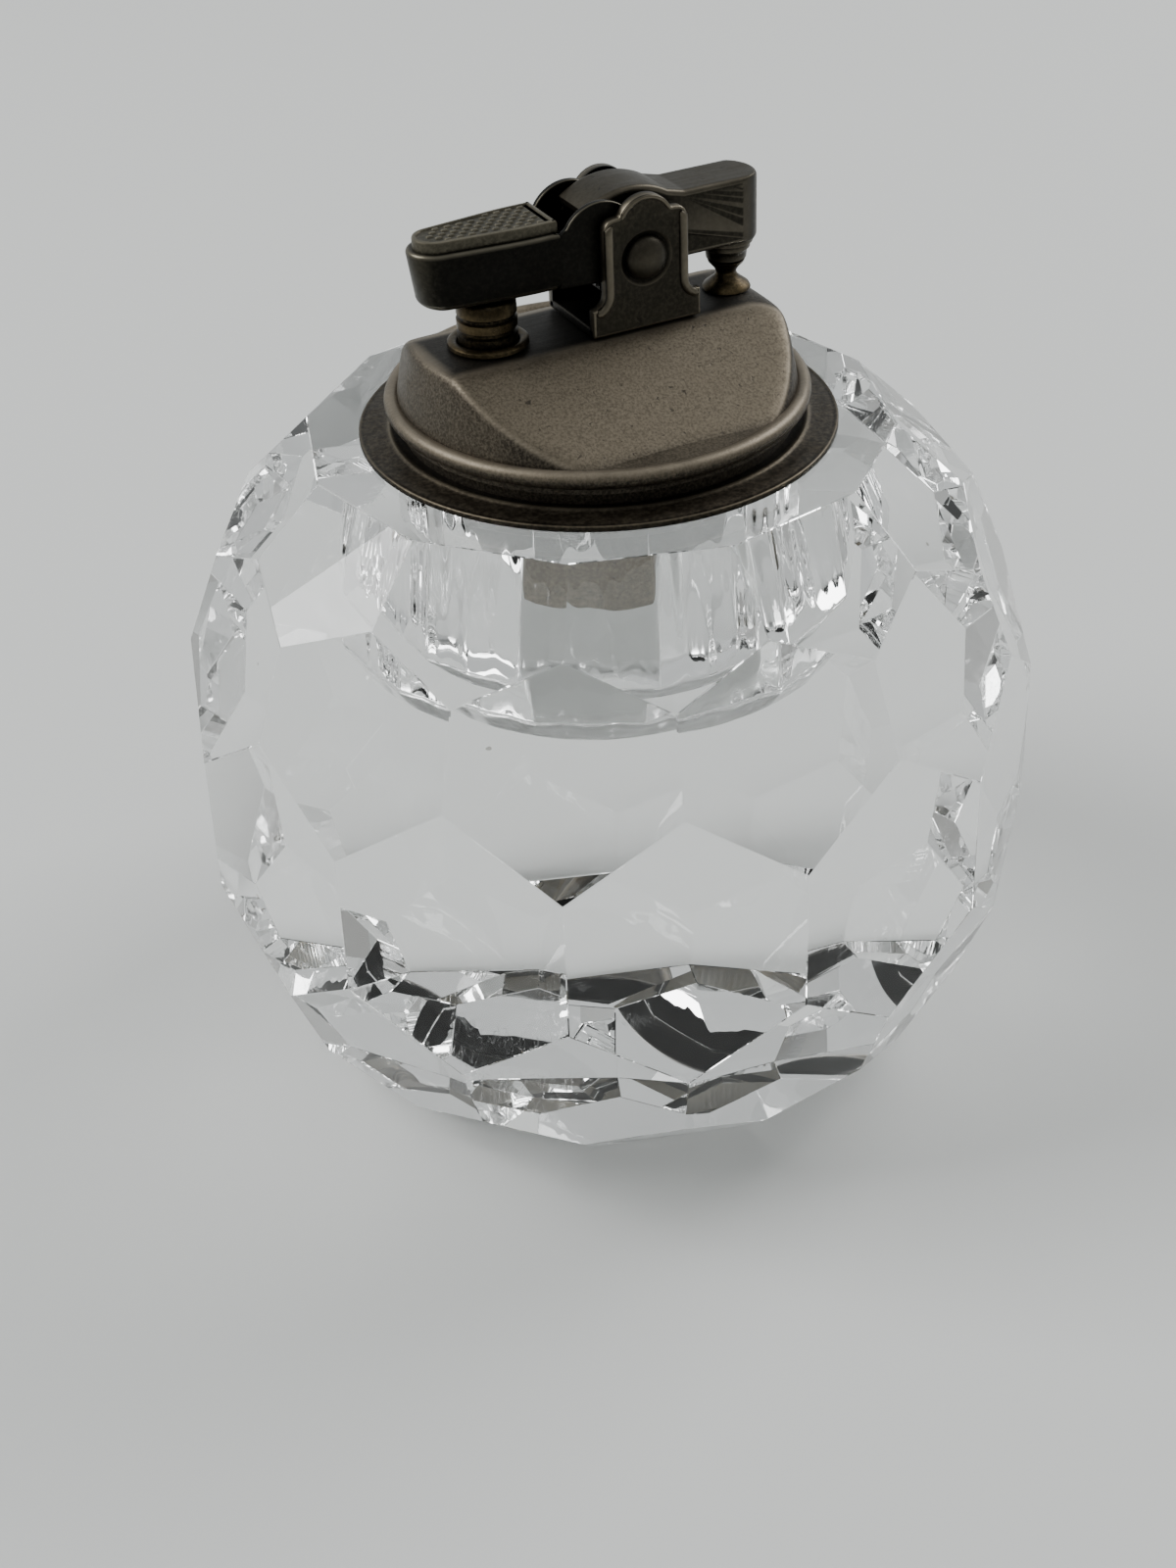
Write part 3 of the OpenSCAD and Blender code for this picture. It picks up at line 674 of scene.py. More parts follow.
@dataclass
class CrystalBall:
    """The cut ball: rows of flat facets, a flat table and base, and a well with upright panels."""

    base_h: float = 31.0
    table_h: float = 32.4
    belt: float = 39.6
    middle: tuple[float, float] = (21.0, 40.8)
    crown: tuple[float, float] = (45.3, 41.6)
    turn: float = -3.0
    facets: int = 12
    well_r: float = 18.5
    well_depth: float = 23.0
    panels: int = 12
    panel_r: float = 70.0
    scallops: int = 24
    per_panel: int = 48
    edge: float = 0.07

    def planes(self) -> tuple[Array, Array]:
        """Normals and distances of all the facets, from the ball's centre."""
        step = 360 / self.facets
        even_turns = radians(self.turn) + np.radians(np.arange(self.facets) * step)
        odd_turns = even_turns + radians(step / 2)
        rows = [(odd_turns, 0.0, self.belt)]
        for tilt_sign in (1, -1):
            rows.append((even_turns, tilt_sign * self.middle[0], self.middle[1]))
            rows.append((odd_turns, tilt_sign * self.crown[0], self.crown[1]))
        normals = [np.stack([np.cos(a) * cos(radians(t)), np.sin(a) * cos(radians(t)),
                             np.full(len(a), sin(radians(t)))], axis=-1) for a, t, _ in rows]
        distances = [np.full(len(a), d) for a, _, d in rows]
        normals.append(np.array([[0, 0, 1.0], [0, 0, -1.0]]))
        distances.append(np.array([self.table_h, self.base_h]))
        return np.concatenate(normals), np.concatenate(distances)

    def corners(self, normals: Array, distances: Array) -> Array:
        """Every point where three facets meet that lies inside all the others."""
        triples = np.array(list(combinations(range(len(distances)), 3)))
        systems = normals[triples]
        sound = np.abs(np.linalg.det(systems)) > 1e-3
        found = np.linalg.solve(systems[sound], distances[triples[sound]][..., None])[..., 0]
        inside = (found @ normals.T <= distances + 1e-5).all(1)
        return np.unique(np.round(found[inside], 4), axis=0)

    def rim(self) -> Array:
        """Radius of the panelled wall at each step round it.

        A panel is an arc of radius q about a point c = well_r - q from the axis, so at an angle a
        from the panel's middle the radius is c cos a + sqrt(q^2 - c^2 sin^2 a).
        """
        count = self.panels * self.per_panel
        angle = np.arange(count) * FULL_TURN / count
        step = 2 * np.pi / self.panels
        off = (angle + step / 2) % step - step / 2
        centre = self.well_r - self.panel_r
        return centre * np.cos(off) + np.sqrt(self.panel_r**2 - (centre * np.sin(off)) ** 2)

    def ripple(self, height: float) -> Array:
        """The pressed wall's faint waves: a few sines round the wall that drift with height."""
        count = self.panels * self.per_panel
        angle = np.arange(count) * FULL_TURN / count
        waves = ((31, 0.013, 0.4, 0.09), (47, 0.008, 2.1, -0.13),
                 (71, 0.004, 4.4, 0.2), (19, 0.014, 1.3, 0.05))
        return sum(size * np.sin(turns * angle + phase + drift * height)
                   for turns, size, phase, drift in waves)

    def shell(self) -> Shell:
        """The ball's surface: facets, the table with its opening, and the well."""
        normals, distances = self.planes()
        points = self.corners(normals, distances)
        faces: list[tuple[int, ...]] = []
        table: Array = np.zeros(0, int)
        for index, (normal, distance) in enumerate(zip(normals, distances)):
            on_face = np.flatnonzero(np.abs(points @ normal - distance) < 1e-3)
            flat = points[on_face] - points[on_face].mean(0)
            first = flat[0] / np.linalg.norm(flat[0])
            order = on_face[np.argsort(np.arctan2(flat @ np.cross(normal, first), flat @ first))]
            if index == len(distances) - 2:
                table = order
            else:
                faces.append(tuple(order.tolist()))
        outside = len(points)
        rim = self.rim()
        count = len(rim)
        angle = np.arange(count) * FULL_TURN / count
        top, floor = self.table_h, self.table_h - self.well_depth
        levels = [(top, 0.25, 1.0), (top - 0.08, 0.08, 1.0), (top - 0.3, 0.0, 1.0)]
        levels += [(top - 0.3 - 2 * k, 0.02 * k / 9, 1.0) for k in range(1, 9)]
        levels += [(floor + 3.4, 0.08, 1.0), (floor + 3.0, 0.15, 1.0), (floor + 2.6, 0.3, 0.9),
                   (floor + 2.2, 0.55, 0.6), (floor + 1.6, 0.95, 0.2), (floor + 0.9, 1.5, 0.0),
                   (floor + 0.35, 2.2, 0.0), (floor + 0.08, 3.1, 0.0),
                   (floor, 4.0, 0.0), (floor, 9.0, 0.0), (floor, 18.3, 0.0)]
        scallop = 1 - np.abs(np.cos(self.scallops / 2 * angle))
        rings = []
        for height, less, panelled in levels:
            sign = 1.0 if height > top - 1 else -1.0
            radius = self.well_r + (rim - self.well_r) * panelled + sign * less
            if floor + 0.2 < height < top - 1:
                radius = radius + self.ripple(height)
                radius = radius - scallop * 0.28 * np.exp(-(((height - floor - 1.9) / 0.8) ** 2))
            rings.append(np.stack([radius * np.cos(angle), radius * np.sin(angle),
                                   np.full(count, height)], axis=-1))
        wall = grid_faces(len(rings), count, outside)
        wall.append(tuple(outside + (len(rings) - 1) * count + np.arange(count)))
        turns = np.arctan2(points[table, 1], points[table, 0]) % (2 * np.pi)
        table = table[np.argsort(turns)]
        nearest = np.round(np.sort(turns) / (2 * np.pi) * count).astype(int)
        for k in range(len(table)):
            following = (k + 1) % len(table)
            last = nearest[following] + (count if following == 0 else 0)
            inner = (np.arange(last, nearest[k] - 1, -1) % count + outside).tolist()
            faces.append((int(table[k]), int(table[following]), *inner))
        everything = np.concatenate([points, *rings]) + np.array([0, 0, self.base_h])
        zero = np.zeros(len(everything))
        return Shell(everything, faces + [face[::-1] for face in wall], zero, zero)

    def build(self, shop: Workshop) -> None:
        """Makes the ball, with a hairline chamfer on the facets' edges."""
        ball = shop.raw("cut_ball", [self.shell()], crease=25)
        mesh = ball.data
        count = len(mesh.vertices)
        places = np.zeros(count * 3)
        mesh.vertices.foreach_get("co", places)
        spot = places.reshape(-1, 3) / MM
        outer = np.hypot(spot[:, 0], spot[:, 1]) > self.well_r + 3
        outer |= spot[:, 2] < self.base_h + self.table_h - self.well_depth - 5
        ends = np.zeros(len(mesh.edges) * 2, int)
        mesh.edges.foreach_get("vertices", ends)
        both = outer[ends.reshape(-1, 2)].all(1)
        weight = mesh.attributes.new("bevel_weight_edge", "FLOAT", "EDGE")
        weight.data.foreach_set("value", both.astype(np.float32))
        sides = np.array([len(p.vertices) for p in mesh.polygons])
        flat = np.array([bool(outer[list(p.vertices)].any()) for p in mesh.polygons])
        mesh.polygons.foreach_set("use_smooth", ~(flat | (sides > 8)))
        chamfer = ball.modifiers.new("facet edges", "BEVEL")
        chamfer.limit_method, chamfer.width, chamfer.segments = "WEIGHT", self.edge * MM, 1
        shop.finish(ball, "crystal", Body.BALL, "crystal_ball")


# ---------------------------------------------------------------- insert body


@dataclass
class InsertBody:
    """Flange, bead and the leaning-faced dome that carries the works."""

    table_z: float = 63.4
    flange_r: float = 22.0
    flange_z: float = 64.1
    deck_z: float = 73.6
    deck_half: float = 4.55
    lean: float = 60.0
    top_r: float = 17.1
    foot_r: float = 18.5
    end_r: float = 5.5
    ledge_z: float = 67.15
    bead: tuple[float, float, float] = (18.7, 66.7, 0.8)
    soft: float = 0.32

    def distance(self, spot: Array) -> Array:
        """How far points are outside each boundary: deck, two leaning faces, cone and rounded end."""
        x, y, z = spot[..., 0], spot[..., 1], spot[..., 2]
        lean = radians(self.lean)
        faces = [(s * y - self.deck_half) * cos(lean) + (z - self.deck_z) * sin(lean) for s in (-1, 1)]
        slope = (self.foot_r - self.top_r) / 7.5
        cone = np.hypot(x, y) - self.top_r - slope * (self.deck_z - z)
        end = np.hypot(np.maximum(x - 13.2, 0), np.maximum(z - self.deck_z + self.end_r, 0)) - self.end_r
        return np.stack([z - self.deck_z, faces[0], faces[1], cone, end], axis=-1)

    def inside(self, spot: Array) -> Array:
        """A soft largest of the boundary distances: negative inside, with rounded edges."""
        parts = self.distance(spot) / self.soft
        peak = parts.max(-1)
        return (peak + np.log(np.exp(parts - peak[..., None]).sum(-1))) * self.soft

    def dome(self) -> Shell:
        """The dome: points found along rays from a point on the axis by halving the gap.

        Ray (a, b) leaves (0, 0, 64) at azimuth a and elevation b; its point is where the soft
        largest of the boundary distances is zero.
        """
        source = np.array([0, 0, 64.0])
        azimuth = np.linspace(0, 2 * np.pi, 480, endpoint=False)
        azimuth = azimuth + 0.12 * np.sin(2 * azimuth)
        rise = np.linspace(0, 1, 130)
        elevation = np.radians(4 + 85.9 * rise**1.15)
        flat = np.cos(elevation)[:, None]
        rays = np.stack([flat * np.cos(azimuth), flat * np.sin(azimuth),
                         np.repeat(np.sin(elevation)[:, None], len(azimuth), axis=1)], axis=-1)
        near = np.zeros(rays.shape[:2])
        far = np.full(rays.shape[:2], 40.0)
        for _ in range(34):
            middle = (near + far) / 2
            outside = self.inside(source + rays * middle[..., None]) > 0
            far, near = np.where(outside, middle, far), np.where(outside, near, middle)
        shell = loft(source + rays * near[..., None])
        x, _, z = shell.points.T
        parts = self.distance(shell.points)
        parts[:, 4] = np.where(x < 13.3, -9.0, parts[:, 4])
        parts[:, 0] = np.where(x < 13.3, parts[:, 0], -9.0)
        which = parts.argmax(-1)
        parts = np.sort(parts, axis=-1)
        shell.wear = np.clip(1 - (parts[:, -1] - parts[:, -2]) / 0.4, 0, 1) ** 1.5
        # Tone by face: the deck is painted dark, for grime and for painted shade under the lever and the arm;
        # the leaning faces and the rounded end are paler.
        shell.tone = np.choose(which, [-0.85, 0.9, 0.9, -0.05, 0.75]).astype(float)
        # Painted shade: the deck is darker still beside the bracket's ears.
        shell.tone -= (which == 0) * 0.4 * np.clip(1.6 - np.abs(x - 3.0) / 6.0, 0, 1)
        shell.tone -= (which == 4) * np.clip((z - self.deck_z + 2.0) / 1.6, 0, 1) * 1.1
        back = np.clip((-shell.points[:, 0] - 13.5) / 1.5, 0, 1)
        deck_end = (which == 0) * np.clip((-shell.points[:, 0] - 15.6) / 0.8, 0, 0.8)
        shell.wear = np.maximum(shell.wear, deck_end)
        shell.tone += (which == 3) * back * 0.35
        low = np.clip((shell.points[:, 2] - self.ledge_z) / 0.5, 0, 1)
        shell.wear *= low
        shell.tone *= 0.35 + 0.65 * low
        return shell

    def collar(self) -> Shell:
        """The ledge, the bead and the undercut below it, turned from one profile."""
        radius, height, round_r = self.bead
        bead = arc((radius, height), round_r, 148, -80, 22)
        profile = np.vstack([[[13.0, 65.0], [13.0, self.ledge_z + 0.25], [15.5, self.ledge_z + 0.12]],
                             [[17.6, self.ledge_z]], bead,
                             [[18.1, height - 0.95], [18.05, self.flange_z - 0.05],
                              [17.0, self.flange_z - 0.05]]])
        shell = lathe(profile, 256)
        level = np.concatenate([[0, 0, 0, 0], np.clip(np.sin(np.radians(np.linspace(148, -80, 22))), 0, 1),
                                [0, 0, 0]])
        shell.wear = np.repeat(level**2, 256) * 0.9
        # Painted light and shade: the bead's upper side, which faces up, is painted paler than its underside.
        pale = np.where(level > 0.2, 0.7, 0.15)[4:26]
        shell.tone = np.repeat(np.concatenate([[0.45] * 4, pale, [0, 0, 0]]), 256)
        return shell

    def flange(self) -> Shell:
        """The flange: a thin plate with a fine raised lip, with painted shade inside the lip and on its
        underside.
        """
        r, z, top = self.flange_r, self.table_z, self.flange_z
        profile = np.array([[17.0, z], [r - 0.15, z], [r, z + 0.12], [r, z + 0.45], [r - 0.1, z + 0.58],
                            [r - 0.22, z + 0.6], [r - 0.34, z + 0.54], [r - 0.6, z + 0.6],
                            [r - 1.6, top - 0.03], [19.6, top], [19.4, top + 0.09], [19.25, top + 0.18],
                            [19.05, top + 0.18], [18.9, top + 0.08], [18.7, top], [18.3, top], [17.0, top]])
        wear = [0, 0.0, 0.0, 0.1, 0.45, 0.2, 0.0, 0.0, 0.0, 0.0, 0.2, 0.75, 0.6, 0.1, 0, 0, 0]
        shell = lathe(profile, 320, wear)
        # Painted shade on the underside and inside the lip next to the bead; the rim's top is paler.
        tone = [0.0, -0.6, -0.6, -0.2, 0.5, 0.5, 0.1, 0.45, 0.55, 0.45, 0.3, 0.4, 0.2, -0.3, -0.7, -0.8, 0]
        shell.tone = np.repeat(np.array(tone), 320)
        return shell

    def build(self, shop: Workshop) -> None:
        """Makes the flange plate and the housing."""
        housing = shop.raw("housing_shell", [self.dome(), self.collar()], crease=60)
        shop.finish(housing, "antique_pewter", Body.INSERT, "housing")
        ring = shop.raw("flange_ring", [self.flange()], crease=50)
        shop.finish(ring, "dark_flange", Body.INSERT, "flange_plate")


# ---------------------------------------------------------------- bracket


@dataclass
class Bracket:
    """Two ears with ribbed sides and round tops, and the domed rivet through them."""

    pivot_x: float = 3.0
    pivot_z: float = 80.0
    deck_z: float = 73.6
    face_y: float = 4.55
    ear_t: float = 0.9
    width: float = 8.2
    foot_w: float = 10.7
    shoulder: float = 10.5
    lobe_r: float = 2.8

    def outline(self) -> Array:
        """Side view of an ear: foot, hollow flares, straight sides, shoulders and a round top."""
        half, foot, top = self.width / 2, self.foot_w / 2, self.shoulder
        lobe = arc((0, top - 1.15), self.lobe_r, 155, 25, 26)
        lobe = lobe[lobe[:, 1] > top + 0.02]
        flare_right = arc((foot, 2.5 + foot - half), foot - half, 270, 180, 8)
        right = np.vstack([[[foot, 0.0]], [[foot, 2.4]], flare_right,
                           arc((half - 1, top - 1), 1.0, 0, 90, 8)])
        left = (right * [-1, 1])[::-1]
        return np.vstack([right, lobe[::-1], left]) + [self.pivot_x, self.deck_z]

    def ear(self) -> Shell:
        """The ear's plate, from its back face to its recessed front."""
        count = 200
        outline = counter_clockwise(even(self.outline(), count))
        centre = np.array([self.pivot_x, self.pivot_z])
        inner, face = self.face_y - self.ear_t, self.face_y
        stations = [(0.0, inner, 0.0), (0.0, face - 0.16, 0.9), (0.05, face - 0.05, 1.0), (0.16, face, 0.9),
                    (0.26, face, 0.0)]
        rows = [np.insert(inset(outline, d), 1, -y, axis=1) for d, y, _ in stations]
        circle = arc((0, 0), 1.0, 0, 360 * (count - 1) / count, count)
        for radius, depth in ((2.6, face), (2.5, face - 0.03), (2.3, face - 0.24), (1.2, face - 0.24)):
            rows.append(np.insert(centre + circle * radius, 1, -depth, axis=1))
        wear = [w for _, _, w in stations] + [0.1, 0.45, 0, 0]
        plate = loft(np.stack(rows), np.array(wear), 0.45)
        edge, hole = (len(stations) - 1) * count, len(stations) * count
        plate.faces[edge : edge + count] = self.halves(plate.points, edge, hole, count)
        # Painted shade: the back face, which faces the other ear, is painted dark.
        plate.tone[:count] = -0.7
        plate.tone[hole:] = -0.35
        return plate

    def halves(self, points: Array, edge: int, hole: int, count: int) -> list[tuple[int, ...]]:
        """The flat face between two rings, as a left and a right half that meet above and below.

        Args:
            points: the plate's points.
            edge: index of the outer ring's first point.
            hole: index of the inner ring's first point.
            count: points in each ring.

        Returns:
            Two faces.
        """
        ends = []
        for start in (edge, hole):
            ring = points[start : start + count]
            off = np.abs(ring[:, 0] - self.pivot_x)
            ends.append([int(np.where(side, off, 99.0).argmin())
                         for side in (ring[:, 2] < self.pivot_z, ring[:, 2] > self.pivot_z)])
        faces = []
        for first, last in ((0, 1), (1, 0)):
            outer = [(ends[0][first] + k) % count + edge
                     for k in range((ends[0][last] - ends[0][first]) % count + 1)]
            inner = [(ends[1][first] + k) % count + hole
                     for k in range((ends[1][last] - ends[1][first]) % count + 1)]
            faces.append(tuple(outer + inner[::-1]))
        return faces

    def rib(self, side: int) -> Shell:
        """The rib that runs down one side and out along the flare."""
        half, foot = self.width / 2 - 0.42, self.foot_w / 2
        flare = arc((foot, 2.5 + foot - self.width / 2), foot - half, 180, 258, 10)
        upright = np.stack([np.full(10, half), np.linspace(self.shoulder - 1.4, 4.1, 10)], axis=-1)
        run = np.vstack([[[half - 0.25, self.shoulder - 0.55], [half, self.shoulder - 0.95]], upright, flare])
        run = run * [side, 1] + [self.pivot_x, self.deck_z]
        return carry(run, 0.42, 0.34, -self.face_y, 0.85)

    def crown(self) -> Shell:
        """The fine lip along the round top."""
        run = arc((0, self.shoulder - 1.15), self.lobe_r - 0.22, 24, 156, 24) + [self.pivot_x, self.deck_z]
        return carry(run, 0.2, 0.14, -self.face_y, 1.0)

    def web(self) -> Shell:
        """The plate that joins the ears on the deck."""
        half, deep = self.foot_w / 2, self.face_y - 0.2
        plan = rounded([(-half, -deep, 0.2), (half, -deep, 0.2), (half, deep, 0.2), (-half, deep, 0.2)])
        # Painted shade: the web between the ears is painted dark, tone -0.7.
        return slab(plan + [self.pivot_x, 0], self.deck_z - 0.1, self.deck_z + 0.7, 0.15, Axis.Z, 0.1, -0.7)

    def rivet(self) -> Shell:
        """A shaft with a domed head at both ends: radius against distance along Y."""
        head = arc((0, 0), 1.0, 0, 90, 12) * [2.0, 1.05]
        end = self.face_y - 0.2
        half = np.vstack([[[0.8, 0.0], [0.8, end], [1.95, end]], head + [0, end + 0.02]])
        profile = np.vstack([(half * [1, -1])[::-1], half])
        wear = np.concatenate([np.linspace(0.75, 0, len(half)), np.linspace(0, 0.75, len(half))])
        turned = lathe(profile, 96, wear * 0.45, -0.4)
        turned.points = turned.points[:, [0, 2, 1]] + [self.pivot_x, 0, self.pivot_z]
        return turned

    def build(self, shop: Workshop) -> None:
        """Makes the bracket and its rivet."""
        side = [self.ear(), self.rib(-1), self.rib(1), self.crown()]
        shells = side + [s.mirrored_y() for s in side] + [self.web()]
        shop.finish(shop.raw("bracket_ears", shells, crease=50), "dark_bracket", Body.INSERT, "bracket")
        shop.finish(shop.raw("domed_rivet", [self.rivet()]), "dark_bracket", Body.INSERT, "rivet")


# ---------------------------------------------------------------- thumb lever


@dataclass
class ThumbLever:
    """The tapered grip, its round cheeks and the knurled pad on top."""

    back: float = -4.7
    nose: float = -15.0
    half: float = 3.4
    nose_half: float = 2.6
    low: float = 78.35
    high: float = 83.45
    pad_half: float = 2.75
    pad_nose_half: float = 2.0
    pad_top: float = 84.45
    cheek_t: float = 0.6
    fulcrum: tuple[float, float] = (0.1, 82.2)

    def plan(self, half: float, nose_half: float, shrink: float = 0.0) -> Array:
        """Plan of the grip: straight back, sides that taper, and a round nose."""
        tip = arc((self.nose, 0), nose_half, 98, 262, 40)
        sides = np.array([[self.back, -half], [self.back, half]])
        shoulder = np.stack([np.linspace(-7, -10, 6), half - 0.02 * np.arange(6) ** 1.5], axis=-1)
        low = (shoulder * [1, -1])[::-1]
        return even(np.vstack([sides[1:], shoulder, tip, low, sides[:1]]), 260) + [shrink, 0]

    def grip(self) -> Shell:
        """The grip, whose end leans in towards a rounded lower edge."""
        shell = slab(self.plan(self.half, self.nose_half), self.low, self.high, 0.4, Axis.Z, 0.8, 0.35, 0.55)
        x, z = shell.points[:, 0], shell.points[:, 2]
        depth = np.clip((self.high - z) / (self.high - self.low), 0, 1)
        lean = np.clip((self.nose + 2 - x) / 4.5, 0, 1) * depth
        shell.points[:, 0] += 0.75 * lean**1.5
        # Painted light and shade: the sides are painted dark, the nose end is painted pale where the light
        # from the left falls on it, and the top is painted paler.
        end = np.clip((self.nose - 0.6 - x) / 1.6, 0, 1)
        shell.tone = -0.7 + 1.6 * end + 0.6 * (z > self.high - 0.05)
        shell.wear *= (x < self.back - 0.6) | (z > self.high - 0.3)
        return shell

    def cheek(self) -> Shell:
        """A side plate with a round lobe over the fulcrum."""
        x, z = self.fulcrum
        lobe = arc((x - 1.0, z - 0.35), 3.7, 150, 18, 28)
        outline = np.vstack([lobe, [[5.2, 82.6], [6.3, 80.8], [6.4, 79.6], [5.4, 78.2], [3.5, 77.8],
                                    [0.5, 78.1], [self.back - 0.2, self.low],
                                    [self.back - 0.2, self.high - 0.3]]])
        # Painted dark, tone -0.6: grime, and painted shade where the cheek sits inside the bracket's ears.
        shell = slab(even(outline, 160), -self.half, -self.half + self.cheek_t, 0.14, Axis.Y, 0.9, -0.6)
        shell.wear *= (shell.points[:, 0] > self.back + 0.5) & (shell.points[:, 2] > 79.0)
        return shell

    def pad(self) -> list[Shell]:
        """The pad: a plate with a plain rim, and staggered rows of short raised bars on its sunken top."""
        outline = counter_clockwise(self.plan(self.pad_half, self.pad_nose_half))
        low, top = self.high - 0.05, self.pad_top
        stations = [(0.0, low, 0.0), (0.0, top - 0.2, 0.3), (0.06, top - 0.06, 0.9), (0.2, top, 0.9),
                    (0.36, top, 0.5), (0.44, top - 0.14, 0.0), (0.8, top - 0.14, 0.0)]
        rings = np.stack([np.insert(inset(outline, d), 2, z, axis=1) for d, z, _ in stations])
        plate = loft(rings, np.array([w for _, _, w in stations]), 0.55)
        across = np.arange(-3, 4) * 0.66
        along = np.arange(-16.0, -5.0, 1.12)
        bars = []
        for row, y in enumerate(across):
            x = along + (row % 2) * 0.56
            limit = np.interp(x, [-17.2, self.nose, -9, -4], [0.2, 1.75, 2.55, 2.6]) - 0.42
            kept = (np.abs(y) < limit) & (x < self.back - 1.0)
            bars.append(np.stack([x, np.full(len(x), y)], axis=-1)[kept])
        spots = np.concatenate(bars)
        base = np.array([[-0.36, -0.2], [0.36, -0.2], [0.36, 0.2], [-0.36, 0.2]])
        crest = base * [0.62, 0.45]
        low_ring = np.insert(base, 2, top - 0.16, axis=1)
        high_ring = np.insert(crest, 2, top - 0.01, axis=1)
        block = np.concatenate([low_ring, high_ring])
        points = (spots[:, None] @ np.eye(2, 3) + block[None]).reshape(-1, 3)
        quads = np.array([[0, 1, 5, 4], [1, 2, 6, 5], [2, 3, 7, 6], [3, 0, 4, 7], [4, 5, 6, 7], [3, 2, 1, 0]])
        faces = (quads[None] + np.arange(len(spots))[:, None, None] * 8).reshape(-1, 4)
        wear = np.tile([0.0] * 4 + [0.8] * 4, len(spots))
        knurl = Shell(points, [tuple(f) for f in faces.tolist()], wear, np.full(len(points), 0.6))
        return [plate, knurl]

    def build(self, shop: Workshop) -> None:
        """Makes the lever and its pad."""
        cheek = self.cheek()
        lever = shop.raw("thumb_grip", [self.grip(), cheek, cheek.mirrored_y()], crease=50)
        shop.finish(lever, "gunmetal_lever", Body.LEVER, "thumb_lever")
        shop.finish(shop.raw("knurled_pad", self.pad(), crease=30), "knurled_pad", Body.LEVER, "thumb_pad")


# ---------------------------------------------------------------- snuffer


@dataclass
class Snuffer:
    """The hood over the flint wheel, the arm with its round nose, and the stepped cap."""

    pivot_z: float = 80.0
    half: float = 2.6
    top: float = 84.45
    low: float = 78.35
    hood: tuple[float, float, float] = (2.5, 78.45, 7.5)
    left: float = -1.95
    burner_x: float = 13.6

    def side(self) -> Array:
        """Side view of hood and arm as one closed outline."""
        x, z, r = self.hood
        start = np.degrees(np.arccos((self.left - x) / r))
        end = np.degrees(np.arcsin((self.top - z) / r))
        crest = arc((x, z), r, start, end + 6, 40)
        join = np.array([[x + r * cos(radians(end)) + 1.0, self.top + 0.02]])
        nose = self.burner_x + 0.2 + self.half
        front = rounded([(8.8, self.top, 0.1), (nose, self.top, 0.5), (nose, self.low, 0.35),
                         (7.6, self.low, 0.6), (5.0, 76.6, 0.5), (1.0, 77.4, 0.5),
                         (self.left, self.pivot_z + 3.4, 0.2)], 7)
        return counter_clockwise(even(np.vstack([crest, join, front[7:]]), 320))

    def arm(self) -> Shell:
        """Hood and arm: the side view carried across in steps, with its nose rounded in plan."""
        outline = self.side()
        turn = np.linspace(-1, 1, 41)
        across = self.half * np.sin(turn * np.pi / 2)
        edge = 0.4
        over = np.maximum(np.abs(across) - (self.half - edge), 0)
        move = edge - np.sqrt(edge**2 - over**2)
        centre = self.burner_x + 0.2
        rings = []
        for y, m in zip(across, move):
            ring = inset(outline, float(m))
            beyond = ring[:, 0] > centre
            squeeze = np.sqrt(max(1 - (y / self.half) ** 2, 0.0))
            ring[beyond, 0] = centre + (ring[beyond, 0] - centre) * squeeze
            rings.append(np.insert(ring, 1, y, axis=1))
        wear = np.clip(over / edge, 0, 1) * 0.55
        for y in (-self.half, self.half):
            ring = np.insert(inset(outline, edge + SEAM), 1, y, axis=1)
            ring[:, 0] = np.minimum(ring[:, 0], centre)
            rings.insert(0 if y < 0 else len(rings), ring)
        shell = loft(np.stack(rings), np.concatenate([[0.0], wear, [0.0]]))
        x, y, z = shell.points.T
        # Painted reflection round the nose: pale at its end, then a dark band where it turns to the sides.
        turn = np.degrees(np.arctan2(np.abs(y), np.maximum(x - centre, 0.0)))
        tip = np.interp(turn, [0, 42, 66, 88, 90], [1.0, 0.9, -0.95, -0.85, 0.1])
        # Painted highlight: the arm's top edge and the top of the hood are painted pale.
        crest = np.clip((z - self.top + 0.35) / 0.3, 0, 1)
        hood = np.clip((7.0 - x) / 3.0, 0, 1) * np.clip((z - 83.5) / 0.8, 0, 1)
        shell.tone = tip + (0.75 - tip) * np.maximum(crest, hood)
        shell.tone[: len(outline)] = shell.tone[-len(outline) :] = 0.1
        return shell

    def hollow(self) -> Shell:
        """The space inside the hood and under the arm."""
        x, z, r = self.hood
        inside = arc((x, z), r - 0.6, 185, 40, 40)
        outline = np.vstack([inside, [[10.4, 83.6], [10.4, 74.0], [x - 8, 74.0], [x - 8, z]]])
        return slab(outline, -self.half + 0.6, self.half - 0.6, 0.05, Axis.Y, 0)

    def cap(self) -> Shell:
        """The stepped snuffer cap, turned from one profile and open below."""
        steps = np.array([[0.0, 78.5], [2.45, 78.5], [2.45, 78.0], [2.2, 77.85], [2.2, 77.45], [1.95, 77.2],
                          [1.9, 76.9], [1.85, 76.45], [1.6, 76.38], [1.55, 76.5], [1.5, 77.6], [0.0, 77.6]])
        wear = [0, 0, 0.5, 0.1, 0.5, 0.1, 0.1, 0.4, 0.2, 0, 0, 0]
        return lathe(steps, 96, wear, 0.1, (self.burner_x, 0))

    def build(self, shop: Workshop) -> None:
        """Makes the arm and the cap."""
        arm = shop.raw("snuffer_hood_arm", [self.arm()], crease=50)
        shop.cut(arm, shop.raw("hollow", [self.hollow()]))
        shop.finish(arm, "gunmetal_snuffer", Body.SNUFFER, "snuffer_arm")
        shop.finish(shop.raw("stepped_cap", [self.cap()]), "dark_bracket", Body.SNUFFER, "snuffer_cap")


# ---------------------------------------------------------------- small turned pieces


